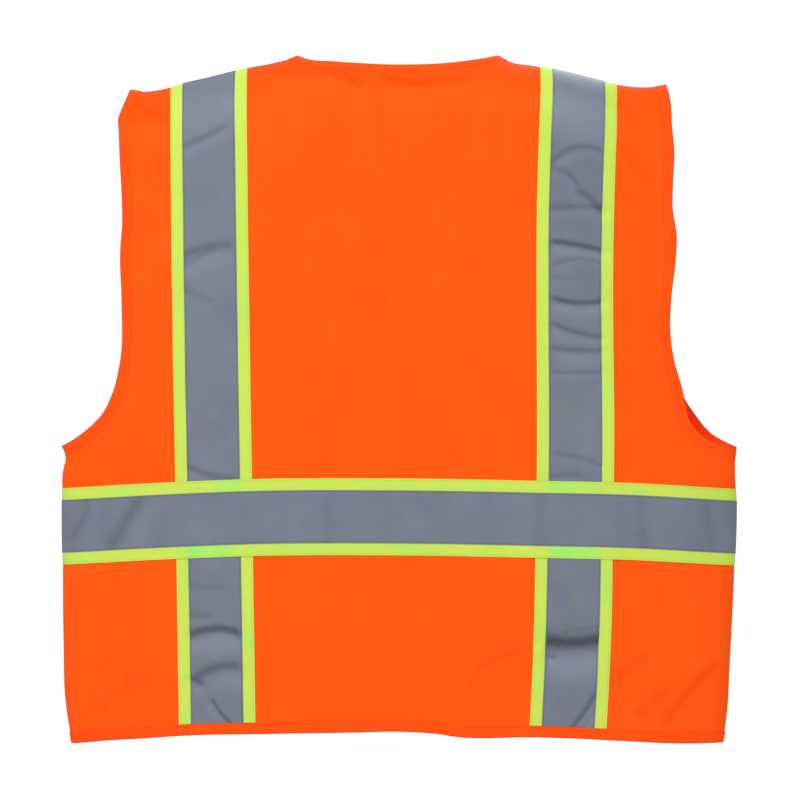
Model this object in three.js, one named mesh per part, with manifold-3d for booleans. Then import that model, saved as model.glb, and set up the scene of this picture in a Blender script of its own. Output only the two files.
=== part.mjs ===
// A high visibility vest, unzipped, hanging as it does on a hanger or on a wearer, in millimetres.
// +X is the wearer's right, +Y is the way the wearer faces and +Z is up.
// The origin is the middle of the neck opening, level with the tops of the shoulder seams.
//
// The cloth lies on one hollow form, like a flat bag: a back and a front that meet at the shoulders
// and the sides. Each sewn piece is a thin layer of that form, cut to its own outline as seen from
// the front. An outline is a list of [x, z] points on the wearer's right; the left is its mirror.

import * as THREE from "three";
import { mergeVertices } from "three/addons/utils/BufferGeometryUtils.js";
import Module from "manifold-3d";

const wasm = await Module();
wasm.setup();

// ---- Driving dimensions of the garment ----
const BODY_HALF_WIDTH = 327; // side seam, from the underarm to the waist
const HEM_TAPER = 11; // how far each side seam comes in by the hem
const TAPER_START = -430; // height where the side seams begin to come in
const HALF_DEPTH = 52; // from the seams' plane to the middle of the back or the front
const FLAT_HALF_WIDTH = 50; // the middle of the back and the front is flat
const SECTION_POWER = 2.6; // fullness of the horizontal section: 2 is an ellipse
const SHOULDER_ARCH = 70; // height over which the cloth turns over the shoulder
const NECK_HALF_WIDTH = 98;
const BACK_NECK_DROP = 10;
const FRONT_NECK_DROP = 215;
const SHOULDER_TIP = 262; // half the width across the shoulders
const SHOULDER_DROP = 31; // neck point to shoulder tip
const ARMHOLE_CHEST = 268; // half the width between the armholes at the chest
const UNDERARM = -379;
const HEM = -656; // height of the hem's edge at the centre
const SIDE_DROP = 10.5; // how far hem and waist band dip at the side seams

// ---- Cloth, tape and binding ----
const CLOTH = 0.9;
const TRIM_THICKNESS = 0.45;
const TAPE_THICKNESS = 0.4;
const LAYER_GAP = 0.3; // between two layers that are sewn together
const SEAM_GAP = 0.3; // between two pieces that meet at a seam
const TRIM_WIDTH = 75; // lime backing under each reflective tape
const TAPE_WIDTH = 51;
const STRIPE_AT_SHOULDER = 180; // stripe's centre line, out from the middle
const STRIPE_AT_HEM = 171;
const CLIMB_WIDTH = 7; // over which the waist band climbs onto a stripe
const WAIST_TOP = -409.5; // upper edge of the waist band's trim at the centre
const BINDING_WIDTH = 10;
const BINDING_THICKNESS = 0.6;

// ---- Front opening ----
const FOLD_TOP = { x: 86, z: -60 }; // where the lapel folds, out from the middle
const FOLD_HEM = { x: 128, z: -660 };
const FOLD_GAP = 0.8;
const FRONT_EDGE = 11; // front panel's edge, out from the middle
const CHAIN_TIP = 5.3; // tips of the zip's teeth, out from the middle
const CHAIN_WIDTH = 3;
const CHAIN_THICKNESS = 2.4;
const ZIP_TAPE_WIDTH = 13;
const ZIP_TAPE_THICKNESS = 0.6;
const BINDING_REACH = 1.3; // how far the neck binding reaches down beside the zip, in its widths
const ZIP_BELOW_BINDING = 0.5;
const ZIP_ABOVE_HEM = 8;
const ZIP_END_HEIGHT = 9; // retaining box, and the pin below the left chain
const BOX_WIDTH = 7.7;
const BOX_THICKNESS = 3.8;
const STOP_HEIGHT = 3;
const STOP_THICKNESS = 3.8;

// ---- Slider and pull ----
const SLIDER_AXIS = 4.2; // slider's centre line, out from the middle
const SLIDER_LENGTH = 13;
const SLIDER_CHAMFER = 2.2;
const SLIDER_CLEARANCE = 0.4;
const PLATE_THICKNESS = 1;
const FLANGE_WIDTH = 1;
const FLANGE_SLOT = 1.4;
const POST_WIDTH = 0.9;
const POST_LENGTH = 6;
const CROWN_WIDTH = 2.4; // the loop on the slider that holds the pull
const CROWN_LENGTH = 8;
const CROWN_THICKNESS = 0.9;
const PULL_THICKNESS = 1.3;
const PULL_WIDTH = 6.4;
const PULL_LENGTH = 20;
const PULL_CLEARANCE = 0.4;

// ---- Pockets and label ----
const POCKET_INNER = 22; // chest pocket's edge nearest the zip, out from the middle
const POCKET_WIDTH = 58;
const POCKET_TOP = -282;
const POCKET_HEIGHT = 116;
const POCKET_THICKNESS = 0.7;
const FLAP_TOP = -266;
const FLAP_LENGTH = 46;
const FLAP_OVERHANG = 1.5; // how far the flap is wider than the pocket, each side
const PATCH_WIDTH = 44; // hook and loop fastener
const PATCH_HEIGHT = 16;
const PATCH_THICKNESS = 0.6;
const PATCH_MARGIN = 5; // from the flap's lower edge
const INNER_POCKET_FROM = 140;
const INNER_POCKET_WIDTH = 120;
const INNER_POCKET_HEIGHT = 135;
const LABEL_TOP = -24;
const LABEL_WIDTH = 52;
const LABEL_HEIGHT = 38;
const LABEL_THICKNESS = 0.4;

// ---- How finely the form is drawn ----
const INNER_COLUMNS = [FLAT_HALF_WIDTH, 97, 114];
const OUTER_COLUMNS = [254, 282, 303, 317, 325];
const ARCH_STEPS = 5;
const BELOW_HEM = 3;
const FAR = HALF_DEPTH + 68; // past every face of the form, from the seams' plane
const WIDE = BODY_HALF_WIDTH + 33; // past both sides of the form
const TOP = 30; // above the shoulders
const BOTTOM = HEM - 64; // below the hem

// ---- Finishes ----
const finish = (color, roughness, metalness = 0) =>
  new THREE.MeshStandardMaterial({ color, roughness, metalness });
const ORANGE = finish(0xff5f1c, 0.85);
const BINDING_ORANGE = finish(0xff521f, 0.85);
const LIME = finish(0xd2ec66, 0.8);
const SILVER = finish(0x7f8694, 0.45, 0.2);
const BLACK_TAPE = finish(0x1c1c1e, 0.85);
const BLACK_PLASTIC = finish(0x242427, 0.5);
const ZIP_METAL = finish(0x33343a, 0.35, 0.8);
const HOOK_AND_LOOP = finish(0xe8562a, 0.95);
const WHITE_LABEL = finish(0xeceae4, 0.75);

// ---- The form: the surface that the cloth lies on ----
const clamp = THREE.MathUtils.clamp;
const lerp = THREE.MathUtils.lerp;
const slopeOf = (height, at, step = 0.5) => (height(at + step) - height(at - step)) / (2 * step);

function sideHalfWidth(z) {
  const below = clamp((TAPER_START - z) / (TAPER_START - HEM), 0, 1.05);
  return BODY_HALF_WIDTH - HEM_TAPER * below * below;
}

// Height of the shoulder line: level across the neck, then a quarter sine down to the tip.
function shoulderLine(x) {
  const soft = 8; // rounds the corner at the neck point
  const out = (Math.abs(x) - NECK_HALF_WIDTH) / soft;
  const along = soft * Math.log1p(Math.exp(clamp(out, -30, 30)));
  const share = clamp(along / (SHOULDER_TIP - NECK_HALF_WIDTH), 0, 1);
  return -SHOULDER_DROP * Math.sin((share * Math.PI) / 2);
}

const sideDip = (x) => SIDE_DROP * (x / BODY_HALF_WIDTH) ** 2;
const hemLine = (x) => HEM - sideDip(x);
const stripeCentre = (z) => lerp(STRIPE_AT_SHOULDER, STRIPE_AT_HEM, clamp(z / HEM, 0, 1.1));
const foldLine = (z) => lerp(FOLD_TOP.x, FOLD_HEM.x, (z - FOLD_TOP.z) / (FOLD_HEM.z - FOLD_TOP.z));

// On the form, (y / HALF_DEPTH)^2 = arch * section. Gives its point at (x, z) and its outward normal.
function formPoint(x, z, side) {
  const curvedWidth = sideHalfWidth(z) - FLAT_HALF_WIDTH;
  const share = clamp((Math.abs(x) - FLAT_HALF_WIDTH) / curvedWidth, 0, 1);
  const section = 1 - share ** SECTION_POWER;
  const under = clamp((shoulderLine(x) - z) / SHOULDER_ARCH, 0, 1);
  const arch = 1 - (1 - under) ** 2;
  const y = side * HALF_DEPTH * Math.sqrt(arch * section);
  const archSlope = (2 * (1 - under)) / SHOULDER_ARCH;
  const steepness = (SECTION_POWER * share ** (SECTION_POWER - 1)) / curvedWidth;
  const sectionByX = -steepness * Math.sign(x);
  const sectionByZ = steepness * share * slopeOf(sideHalfWidth, z);
  const normal = new THREE.Vector3(
    -(archSlope * slopeOf(shoulderLine, x) * section + arch * sectionByX),
    (2 * y) / HALF_DEPTH ** 2,
    archSlope * section - arch * sectionByZ,
  );
  if (normal.length() < 1e-6) normal.set(Math.sign(x), 0, 1);
  return { point: new THREE.Vector3(x, y, z), normal: normal.normalize() };
}

// The waist band climbs over the stripes that run under it.
const UNDER_BAND = TRIM_WIDTH / 2 + 2; // half the width of the raised stretch
const STRIPE_STACK = TRIM_THICKNESS + TAPE_THICKNESS + 2 * LAYER_GAP;
function stripeLift(x, z) {
  const away = Math.abs(Math.abs(x) - stripeCentre(z));
  return STRIPE_STACK * clamp((UNDER_BAND + CLIMB_WIDTH - away) / CLIMB_WIDTH, 0, 1);
}

// Columns of the form, across it: each gives a place x at height z.
const climbs = [-UNDER_BAND - CLIMB_WIDTH, -UNDER_BAND, UNDER_BAND, UNDER_BAND + CLIMB_WIDTH];
const columnsOut = [
  ...INNER_COLUMNS.map((column) => () => column),
  ...climbs.map((away) => (z) => stripeCentre(z) + away),
  ...OUTER_COLUMNS.map((column) => (z) => (column * sideHalfWidth(z)) / BODY_HALF_WIDTH),
  sideHalfWidth,
];
const columnsIn = columnsOut.map((place) => (z) => -place(z)).reverse();
const COLUMNS = [...columnsIn, () => 0, ...columnsOut];

// Rows of the form, from the shoulder fold down: each gives a height at place x.
const archRow = (k) => (x) =>
  shoulderLine(x) - SHOULDER_ARCH * (1 - Math.cos(((k / ARCH_STEPS) * Math.PI) / 2));
const ROWS = [
  ...Array.from({ length: ARCH_STEPS + 1 }, (_, k) => archRow(k)),
  () => TAPER_START,
  () => (TAPER_START + HEM) / 2,
  (x) => hemLine(x) - BELOW_HEM,
];

// The layer of the form between two offsets, each a function of (x, z), as a closed solid.
function layer(low, high) {
  const last = ROWS.length - 1;
  const vertices = [];
  const ids = new Map();
  const idOf = (column, row) => {
    const atSide = column === 0 || column === COLUMNS.length - 1;
    const key = `${column},${atSide ? Math.abs(row) : row}`;
    if (!ids.has(key)) {
      const z = ROWS[Math.abs(row)](COLUMNS[column](0));
      const x = COLUMNS[column](z);
      const { point, normal } = formPoint(x, z, Math.sign(row) || 1);
      ids.set(key, vertices.length / 2);
      vertices.push(point.clone().addScaledVector(normal, low(x, z)));
      vertices.push(point.clone().addScaledVector(normal, high(x, z)));
    }
    return ids.get(key);
  };
  const inner = (column, row) => 2 * idOf(column, row);
  const outer = (column, row) => 2 * idOf(column, row) + 1;
  const triangles = [];
  const triangle = (a, b, c) => {
    if (a !== b && b !== c && a !== c) triangles.push(a, b, c);
  };
  const quad = (a, b, c, d) => {
    triangle(a, b, c);
    triangle(a, c, d);
  };
  // Both faces of a layer are split along the same diagonals, which mirror from side to side.
  const face = (a, b, c, d, rising) => (rising ? quad(a, b, c, d) : quad(b, c, d, a));
  for (let i = 0; i < COLUMNS.length - 1; i++) {
    for (let j = -last; j < last; j++) {
      const rising = (i < (COLUMNS.length - 1) / 2) === (j < 0);
      face(outer(i, j), outer(i + 1, j), outer(i + 1, j + 1), outer(i, j + 1), rising);
      face(inner(i, j), inner(i, j + 1), inner(i + 1, j + 1), inner(i + 1, j), rising);
    }
    quad(outer(i, last), outer(i + 1, last), inner(i + 1, last), inner(i, last));
    quad(outer(i + 1, -last), outer(i, -last), inner(i, -last), inner(i + 1, -last));
  }
  const flat = new Float32Array(vertices.length * 3);
  vertices.forEach((vertex, k) => vertex.toArray(flat, 3 * k));
  const triVerts = new Uint32Array(triangles);
  return new wasm.Manifold(new wasm.Mesh({ numProp: 3, vertProperties: flat, triVerts }));
}

// ---- Solids from three.js geometry, and back ----
function solidOf(geometry) {
  geometry.deleteAttribute("normal");
  geometry.deleteAttribute("uv");
  const merged = mergeVertices(geometry, 1e-4);
  const vertProperties = merged.attributes.position.array;
  const triVerts = new Uint32Array(merged.index.array);
  return new wasm.Manifold(new wasm.Mesh({ numProp: 3, vertProperties, triVerts }));
}

function geometryOf(solid) {
  const { numProp, numVert, vertProperties, triVerts } = solid.getMesh();
  const position = new Float32Array(numVert * 3);
  for (let i = 0; i < numVert; i++)
    position.set(vertProperties.subarray(i * numProp, i * numProp + 3), i * 3);
  return new THREE.BufferGeometry()
    .setAttribute("position", new THREE.BufferAttribute(position, 3))
    .setIndex(new THREE.BufferAttribute(triVerts, 1));
}

// A prism along Y over an outline, on the wearer's right (side 1) or mirrored to the left (-1).
function prism(outline, [yFrom, yTo], side = 1) {
  const shape = new THREE.Shape(outline.map(([x, z]) => new THREE.Vector2(side * x, z)));
  const geometry = new THREE.ExtrudeGeometry(shape, { depth: yTo - yFrom, bevelEnabled: false });
  return solidOf(geometry.rotateX(Math.PI / 2).translate(0, yTo, 0));
}

function block([x0, x1], [y0, y1], [z0, z1], side = 1) {
  const geometry = new THREE.BoxGeometry(x1 - x0, y1 - y0, z1 - z0);
  return solidOf(geometry.translate((side * (x0 + x1)) / 2, (y0 + y1) / 2, (z0 + z1) / 2));
}

const rectangle = (x0, x1, z0, z1) => [[x0, z0], [x1, z0], [x1, z1], [x0, z1]];
const about = (middle, width) => [middle - width / 2, middle + width / 2];

const THROUGH = [-FAR, FAR];
const BACK = [-FAR, -SEAM_GAP / 2];
const FRONT = [SEAM_GAP / 2, FAR];

// ---- Lines that the pieces are cut along; the cloth lies on a line's left ----
function range(from, to, count) {
  return Array.from({ length: count + 1 }, (_, k) => lerp(from, to, k / count));
}

function smooth(points, count) {
  const curve = new THREE.SplineCurve(points.map(([x, z]) => new THREE.Vector2(x, z)));
  return curve.getPoints(count).map((p) => [p.x, p.y]);
}

// Each point of a line moved to the line's left by a distance.
function shifted(line, distance) {
  return line.map(([x, z], k) => {
    const [ax, az] = line[Math.max(k - 1, 0)];
    const [bx, bz] = line[Math.min(k + 1, line.length - 1)];
    const length = Math.hypot(bx - ax, bz - az);
    return [x - ((bz - az) / length) * distance, z + ((bx - ax) / length) * distance];
  });
}

const strip = (line, out, into) => [...shifted(line, -out), ...shifted(line, into).reverse()];

// The armhole's edge, from past the side seam up to above the shoulder.
const ARMHOLE = [
  [BODY_HALF_WIDTH + 20, UNDERARM - 7],
  ...smooth(
    [
      [BODY_HALF_WIDTH, UNDERARM],
      [ARMHOLE_CHEST + 36, UNDERARM + 13],
      [ARMHOLE_CHEST + 17, UNDERARM + 36],
      [ARMHOLE_CHEST + 4, UNDERARM + 68],
      [ARMHOLE_CHEST, UNDERARM + 130],
      [ARMHOLE_CHEST, -150],
      [ARMHOLE_CHEST + 1, -SHOULDER_DROP - 36],
      [SHOULDER_TIP, -SHOULDER_DROP],
    ],
    16,
  ),
  [SHOULDER_TIP - 8, TOP],
];

// The front neckline, from above the neck point down to the zip.
const FRONT_NECK = [
  [NECK_HALF_WIDTH + 1, TOP],
  ...smooth(
    [
      [NECK_HALF_WIDTH, 0],
      [NECK_HALF_WIDTH - 7, -FRONT_NECK_DROP * 0.2],
      [NECK_HALF_WIDTH * 0.75, -FRONT_NECK_DROP * 0.48],
      [NECK_HALF_WIDTH * 0.45, -FRONT_NECK_DROP * 0.78],
      [FRONT_EDGE - 1, -FRONT_NECK_DROP],
    ],
    9,
  ),
  [-FRONT_EDGE, -FRONT_NECK_DROP - 20],
];

// The back neckline, from the wearer's right to the left.
const BACK_NECK = [
  [NECK_HALF_WIDTH + 1, TOP],
  ...range(NECK_HALF_WIDTH, -NECK_HALF_WIDTH, 10).map((x) => [
    x,
    -BACK_NECK_DROP * (1 - Math.abs(x / NECK_HALF_WIDTH) ** 2.4),
  ]),
  [-NECK_HALF_WIDTH - 1, TOP],
];

const HEM_EDGE = range(-WIDE, WIDE, 16).map((x) => [x, hemLine(x)]);
const hemRaised = (rise) => HEM_EDGE.map(([x, z]) => [x, z + rise]);

// ---- Regions ----
const aboveHem = (rise) => prism([...hemRaised(rise), [WIDE, TOP], [-WIDE, TOP]], THROUGH);
const beyondArmhole = (side) => prism([...ARMHOLE, [BODY_HALF_WIDTH + 20, TOP]], THROUGH, side);
const insideFrontNeck = (side) =>
  prism([...FRONT_NECK, [-FAR, -FRONT_NECK_DROP - 20], [-FAR, TOP]], [0, FAR], side);

// Across the body between two lines parallel to the hem, at given depths below the waist band's top.
const waistRegion = (from, to, depth) => {
  const waistLine = (below) => hemRaised(WAIST_TOP - below - HEM);
  return prism([...waistLine(to), ...waistLine(from).reverse()], depth);
};

const stripeRegion = (width, depth, side) =>
  prism(
    [TOP, 0, BOTTOM].flatMap((z) => [[stripeCentre(z) - width / 2, z]]).concat(
      [BOTTOM, 0, TOP].map((z) => [stripeCentre(z) + width / 2, z]),
    ),
    depth,
    side,
  );

// The front from its fold line outwards, and the lapel from an edge near the zip to the fold line.
const foldEdge = (away) => [TOP, BOTTOM].map((z) => [foldLine(z) + away, z]);
const frontSide = (side) =>
  prism([...foldEdge(FOLD_GAP / 2), [WIDE, BOTTOM], [WIDE, TOP]], FRONT, side);
const lapel = (side, edge = FRONT_EDGE) =>
  prism([...foldEdge(-FOLD_GAP / 2), [edge, BOTTOM], [edge, TOP]], FRONT, side);
const bothLapels = [1, -1]
  .map((side) => prism([...foldEdge(FOLD_GAP / 2), [-1, BOTTOM], [-1, TOP]], FRONT, side))
  .reduce((a, b) => a.add(b));

// ---- Layers that the pieces are cut from ----
const constant = (value) => () => value;
const evenLayer = (low, high) => layer(constant(low), constant(high));
const climbingLayer = (low, high) =>
  layer((x, z) => low + stripeLift(x, z), (x, z) => high + stripeLift(x, z));

const CLOTH_FACE = CLOTH / 2;
const TRIM_LOW = CLOTH_FACE + LAYER_GAP;
const TAPE_LOW = TRIM_LOW + TRIM_THICKNESS + LAYER_GAP;
const BINDING_LOW = CLOTH_FACE + LAYER_GAP;
const BINDING_HIGH = BINDING_LOW + BINDING_THICKNESS;
const POCKET_LOW = CLOTH_FACE + LAYER_GAP;
const LOOP_LOW = POCKET_LOW + POCKET_THICKNESS + LAYER_GAP;
const HOOK_LOW = LOOP_LOW + PATCH_THICKNESS + LAYER_GAP;
const FLAP_LOW = HOOK_LOW + PATCH_THICKNESS + LAYER_GAP;

const clothLayer = evenLayer(-CLOTH_FACE, CLOTH_FACE)
  .subtract(beyondArmhole(1))
  .subtract(beyondArmhole(-1))
  .intersect(aboveHem(0));
const aboveBinding = aboveHem(BINDING_WIDTH + LAYER_GAP);
const trimLayer = evenLayer(TRIM_LOW, TRIM_LOW + TRIM_THICKNESS).intersect(aboveBinding);
const tapeLayer = evenLayer(TAPE_LOW, TAPE_LOW + TAPE_THICKNESS).intersect(aboveBinding);
const waistTrimLayer = climbingLayer(TRIM_LOW, TRIM_LOW + TRIM_THICKNESS);
const waistTapeLayer = climbingLayer(TAPE_LOW, TAPE_LOW + TAPE_THICKNESS);
const bindingLayer = evenLayer(-BINDING_HIGH, BINDING_HIGH);
const bindingCore = evenLayer(-BINDING_LOW, BINDING_LOW);

// ---- The assembly ----
const vest = new THREE.Group();

function add(name, solid, material) {
  const mesh = new THREE.Mesh(geometryOf(solid), material);
  mesh.name = name;
  vest.add(mesh);
}

const SIDES = [
  { label: "left", side: -1 },
  { label: "right", side: 1 },
];

function addPanels() {
  const backNeck = prism(BACK_NECK, [-FAR, 0]);
  const backHalf = block(about(0, 2 * WIDE), BACK, [BOTTOM, TOP]);
  add("back_panel", clothLayer.intersect(backHalf).subtract(backNeck), ORANGE);
  for (const { label, side } of SIDES) {
    const front = clothLayer.subtract(insideFrontNeck(side));
    add(`${label}_front_side_panel`, front.intersect(frontSide(side)), ORANGE);
    add(`${label}_front_lapel_panel`, front.intersect(lapel(side)), ORANGE);
  }
}

// A binding is a folded tape, U-shaped in section, over the raw edge along a line.
function folded(line, depth, side = 1) {
  const outside = prism(strip(line, LAYER_GAP + BINDING_THICKNESS, BINDING_WIDTH), depth, side);
  const core = prism(strip(line, LAYER_GAP, BINDING_WIDTH + 1), depth, side);
  return bindingLayer.intersect(outside).subtract(bindingCore.intersect(core));
}

function addBindings() {
  const hem = folded(HEM_EDGE, THROUGH);
  let neck = folded(BACK_NECK, [-FAR, 0.5]);
  for (const { label, side } of SIDES) {
    const frontNeck = folded(FRONT_NECK, [0, FAR], side);
    const ownSide = prism(rectangle(0, WIDE, BOTTOM, TOP), THROUGH, side);
    neck = neck.add(frontNeck.subtract(bothLapels).intersect(ownSide));
    add(`${label}_armhole_binding`, folded(ARMHOLE, THROUGH, side), BINDING_ORANGE);
    add(`${label}_lapel_neck_binding`, frontNeck.intersect(lapel(side)), BINDING_ORANGE);
    const belowPanel = hem.intersect(lapel(side));
    add(`${label}_lapel_hem_binding`, belowPanel, BINDING_ORANGE);
  }
  add("neck_binding", neck, BINDING_ORANGE);
  add("hem_binding", hem.subtract(bothLapels), BINDING_ORANGE);
}

function addStripes() {
  for (const { label, side } of SIDES) {
    for (const [half, depth] of [["back", BACK], ["front", FRONT]]) {
      const trim = trimLayer.intersect(stripeRegion(TRIM_WIDTH, depth, side));
      const tape = tapeLayer.intersect(stripeRegion(TAPE_WIDTH, depth, side));
      add(`${half}_${label}_stripe_trim`, trim, LIME);
      add(`${half}_${label}_stripe_tape`, tape, SILVER);
    }
  }
}

function addWaistBand() {
  const margin = (TRIM_WIDTH - TAPE_WIDTH) / 2;
  const layers = [
    { piece: "trim", solid: waistTrimLayer, from: 0, to: TRIM_WIDTH, material: LIME },
    { piece: "tape", solid: waistTapeLayer, from: margin, to: TRIM_WIDTH - margin, material: SILVER },
  ];
  for (const { piece, solid, from, to, material } of layers) {
    add(`back_waist_${piece}`, solid.intersect(waistRegion(from, to, BACK)), material);
    const front = solid.intersect(waistRegion(from, to, FRONT));
    for (const { label, side } of SIDES) {
      add(`${label}_front_waist_${piece}`, front.intersect(frontSide(side)), material);
      add(`${label}_lapel_waist_${piece}`, front.intersect(lapel(side, FRONT_EDGE + 1)), material);
    }
  }
}

// ---- Zip: the chains lie behind the front edges, on the plane of the tapes ----
const ZIP_TOP = -FRONT_NECK_DROP - BINDING_REACH * BINDING_WIDTH - ZIP_BELOW_BINDING;
const ZIP_BOTTOM = HEM + ZIP_ABOVE_HEM;
const ZIP_TAPE_BOTTOM = HEM + BINDING_WIDTH + LAYER_GAP;
const ZIP_TAPE_FACE = HALF_DEPTH - CLOTH_FACE - LAYER_GAP;
const ZIP_PLANE = ZIP_TAPE_FACE - ZIP_TAPE_THICKNESS / 2;
const CHAIN_BACK = CHAIN_TIP + CHAIN_WIDTH;
const CHAIN_BOTTOM = ZIP_BOTTOM + ZIP_END_HEIGHT + LAYER_GAP;
const CHAIN_TOP = ZIP_TOP - STOP_HEIGHT - LAYER_GAP;

function addZip() {
  const tapeFrom = CHAIN_BACK + LAYER_GAP;
  const tapeDepth = about(ZIP_PLANE, ZIP_TAPE_THICKNESS);
  const chainDepth = about(ZIP_PLANE, CHAIN_THICKNESS);
  for (const { label, side } of SIDES) {
    const tapeAcross = [tapeFrom, tapeFrom + ZIP_TAPE_WIDTH];
    const tape = block(tapeAcross, tapeDepth, [ZIP_TAPE_BOTTOM, ZIP_TOP], side);
    const chain = block([CHAIN_TIP, CHAIN_BACK], chainDepth, [CHAIN_BOTTOM, CHAIN_TOP], side);
    const stopDepth = about(ZIP_PLANE, STOP_THICKNESS);
    const stop = block([CHAIN_TIP, CHAIN_BACK], stopDepth, [ZIP_TOP - STOP_HEIGHT, ZIP_TOP], side);
    add(`${label}_zip_tape`, tape, BLACK_TAPE);
    add(`${label}_zip_chain`, chain, BLACK_PLASTIC);
    add(`${label}_zip_top_stop`, stop, BLACK_PLASTIC);
  }
  const endHeight = [ZIP_BOTTOM, ZIP_BOTTOM + ZIP_END_HEIGHT];
  const boxDepth = about(ZIP_PLANE, BOX_THICKNESS);
  add("zip_retaining_box", block([CHAIN_BACK - BOX_WIDTH, CHAIN_BACK], boxDepth, endHeight), BLACK_PLASTIC);
  add("zip_insertion_pin", block([CHAIN_TIP, CHAIN_BACK], chainDepth, endHeight, -1), BLACK_PLASTIC);
}

// ---- Slider: two plates joined by a post, with flanges that hold the chain, and a crown in front ----
const SLIDER_BOTTOM = CHAIN_BOTTOM;
const SLIDER_Z = [SLIDER_BOTTOM, SLIDER_BOTTOM + SLIDER_LENGTH];
const SLIDER_HALF_WIDTH = CHAIN_BACK + SLIDER_CLEARANCE + FLANGE_WIDTH - SLIDER_AXIS;
const CHANNEL_DEPTH = CHAIN_THICKNESS + 2 * SLIDER_CLEARANCE;
const SLIDER_FACE = ZIP_PLANE + CHANNEL_DEPTH / 2 + PLATE_THICKNESS;
const CROWN_INSIDE = PULL_THICKNESS + 2 * PULL_CLEARANCE;
const CROWN_MIDDLE = SLIDER_BOTTOM + SLIDER_LENGTH / 2;
const PULL_AXIS_Y = SLIDER_FACE + CROWN_INSIDE / 2;
const PULL_AXIS_Z =
  CROWN_MIDDLE - CROWN_LENGTH / 2 + CROWN_THICKNESS + PULL_CLEARANCE + PULL_THICKNESS / 2;

function addSlider() {
  const [low, high] = SLIDER_Z;
  const across = about(SLIDER_AXIS, 2 * SLIDER_HALF_WIDTH);
  const cut = SLIDER_CHAMFER;
  const outline = [
    [across[0] + cut, low],
    [across[1] - cut, low],
    [across[1], low + cut],
    [across[1], high - cut],
    [across[1] - cut, high],
    [across[0] + cut, high],
    [across[0], high - cut],
    [across[0], low + cut],
  ];
  const full = prism(outline, about(ZIP_PLANE, CHANNEL_DEPTH + 2 * PLATE_THICKNESS));
  const channel = block(about(SLIDER_AXIS, 2 * (SLIDER_HALF_WIDTH - FLANGE_WIDTH)),
    about(ZIP_PLANE, CHANNEL_DEPTH), [low - 1, high + 1]);
  const slot = block(about(SLIDER_AXIS, 2 * SLIDER_HALF_WIDTH + 2),
    about(ZIP_PLANE, FLANGE_SLOT), [low - 1, high + 1]);
  const post = block(about(SLIDER_AXIS, POST_WIDTH), about(ZIP_PLANE, CHANNEL_DEPTH + 0.2),
    [high - POST_LENGTH, high]);
  const crownOutside = block(about(SLIDER_AXIS, CROWN_WIDTH),
    [SLIDER_FACE - 0.2, SLIDER_FACE + CROWN_INSIDE + CROWN_THICKNESS],
    about(CROWN_MIDDLE, CROWN_LENGTH));
  const window = block(about(SLIDER_AXIS, CROWN_WIDTH + 2), [SLIDER_FACE, SLIDER_FACE + CROWN_INSIDE],
    about(CROWN_MIDDLE, CROWN_LENGTH - 2 * CROWN_THICKNESS));
  const body = full.subtract(channel).subtract(slot).add(post).add(crownOutside).subtract(window);
  add("zip_slider", body, ZIP_METAL);
}

// The pull hangs from the crown by the bar at its top.
function addPull() {
  const depth = about(PULL_AXIS_Y, PULL_THICKNESS);
  const top = PULL_AXIS_Z + PULL_THICKNESS / 2;
  const bottom = PULL_AXIS_Z - PULL_LENGTH;
  const eyeBottom = PULL_AXIS_Z - CROWN_LENGTH;
  const half = PULL_WIDTH / 2;
  const outline = [
    [SLIDER_AXIS - half, top],
    [SLIDER_AXIS - half, bottom + half / 2],
    [SLIDER_AXIS - half / 2, bottom],
    [SLIDER_AXIS + half / 2, bottom],
    [SLIDER_AXIS + half, bottom + half / 2],
    [SLIDER_AXIS + half, top],
  ];
  const eyeWidth = CROWN_WIDTH + 3 * PULL_CLEARANCE;
  const eye = block(about(SLIDER_AXIS, eyeWidth), [SLIDER_FACE, SLIDER_FACE + FAR],
    [eyeBottom, top - PULL_THICKNESS]);
  add("zip_pull", prism(outline, depth).subtract(eye), ZIP_METAL);
}

// ---- Chest pocket on the wearer's left, inner pockets and neck label ----
function onLapel(low, thickness, outline) {
  return evenLayer(low, low + thickness).intersect(prism(outline, FRONT, -1));
}

function addPockets() {
  const [from, to] = [POCKET_INNER, POCKET_INNER + POCKET_WIDTH];
  const pocket = rectangle(from, to, POCKET_TOP - POCKET_HEIGHT, POCKET_TOP);
  const flap = rectangle(from - FLAP_OVERHANG, to + FLAP_OVERHANG, FLAP_TOP - FLAP_LENGTH, FLAP_TOP);
  const patchBottom = FLAP_TOP - FLAP_LENGTH + PATCH_MARGIN;
  const patch = rectangle(...about((from + to) / 2, PATCH_WIDTH), patchBottom, patchBottom + PATCH_HEIGHT);
  add("chest_pocket", onLapel(POCKET_LOW, POCKET_THICKNESS, pocket), ORANGE);
  add("chest_pocket_loop_patch", onLapel(LOOP_LOW, PATCH_THICKNESS, patch), HOOK_AND_LOOP);
  add("chest_pocket_hook_patch", onLapel(HOOK_LOW, PATCH_THICKNESS, patch), HOOK_AND_LOOP);
  add("chest_pocket_flap", onLapel(FLAP_LOW, CLOTH, flap), ORANGE);

  const insideLayer = evenLayer(-POCKET_LOW - POCKET_THICKNESS, -POCKET_LOW);
  const lowEdge = HEM - SIDE_DROP + BINDING_WIDTH + 2 * LAYER_GAP;
  const inner = rectangle(INNER_POCKET_FROM, INNER_POCKET_FROM + INNER_POCKET_WIDTH,
    lowEdge, lowEdge + INNER_POCKET_HEIGHT);
  for (const { label, side } of SIDES)
    add(`${label}_inner_pocket`, insideLayer.intersect(prism(inner, FRONT, side))
      .intersect(aboveBinding), ORANGE);
}

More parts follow.
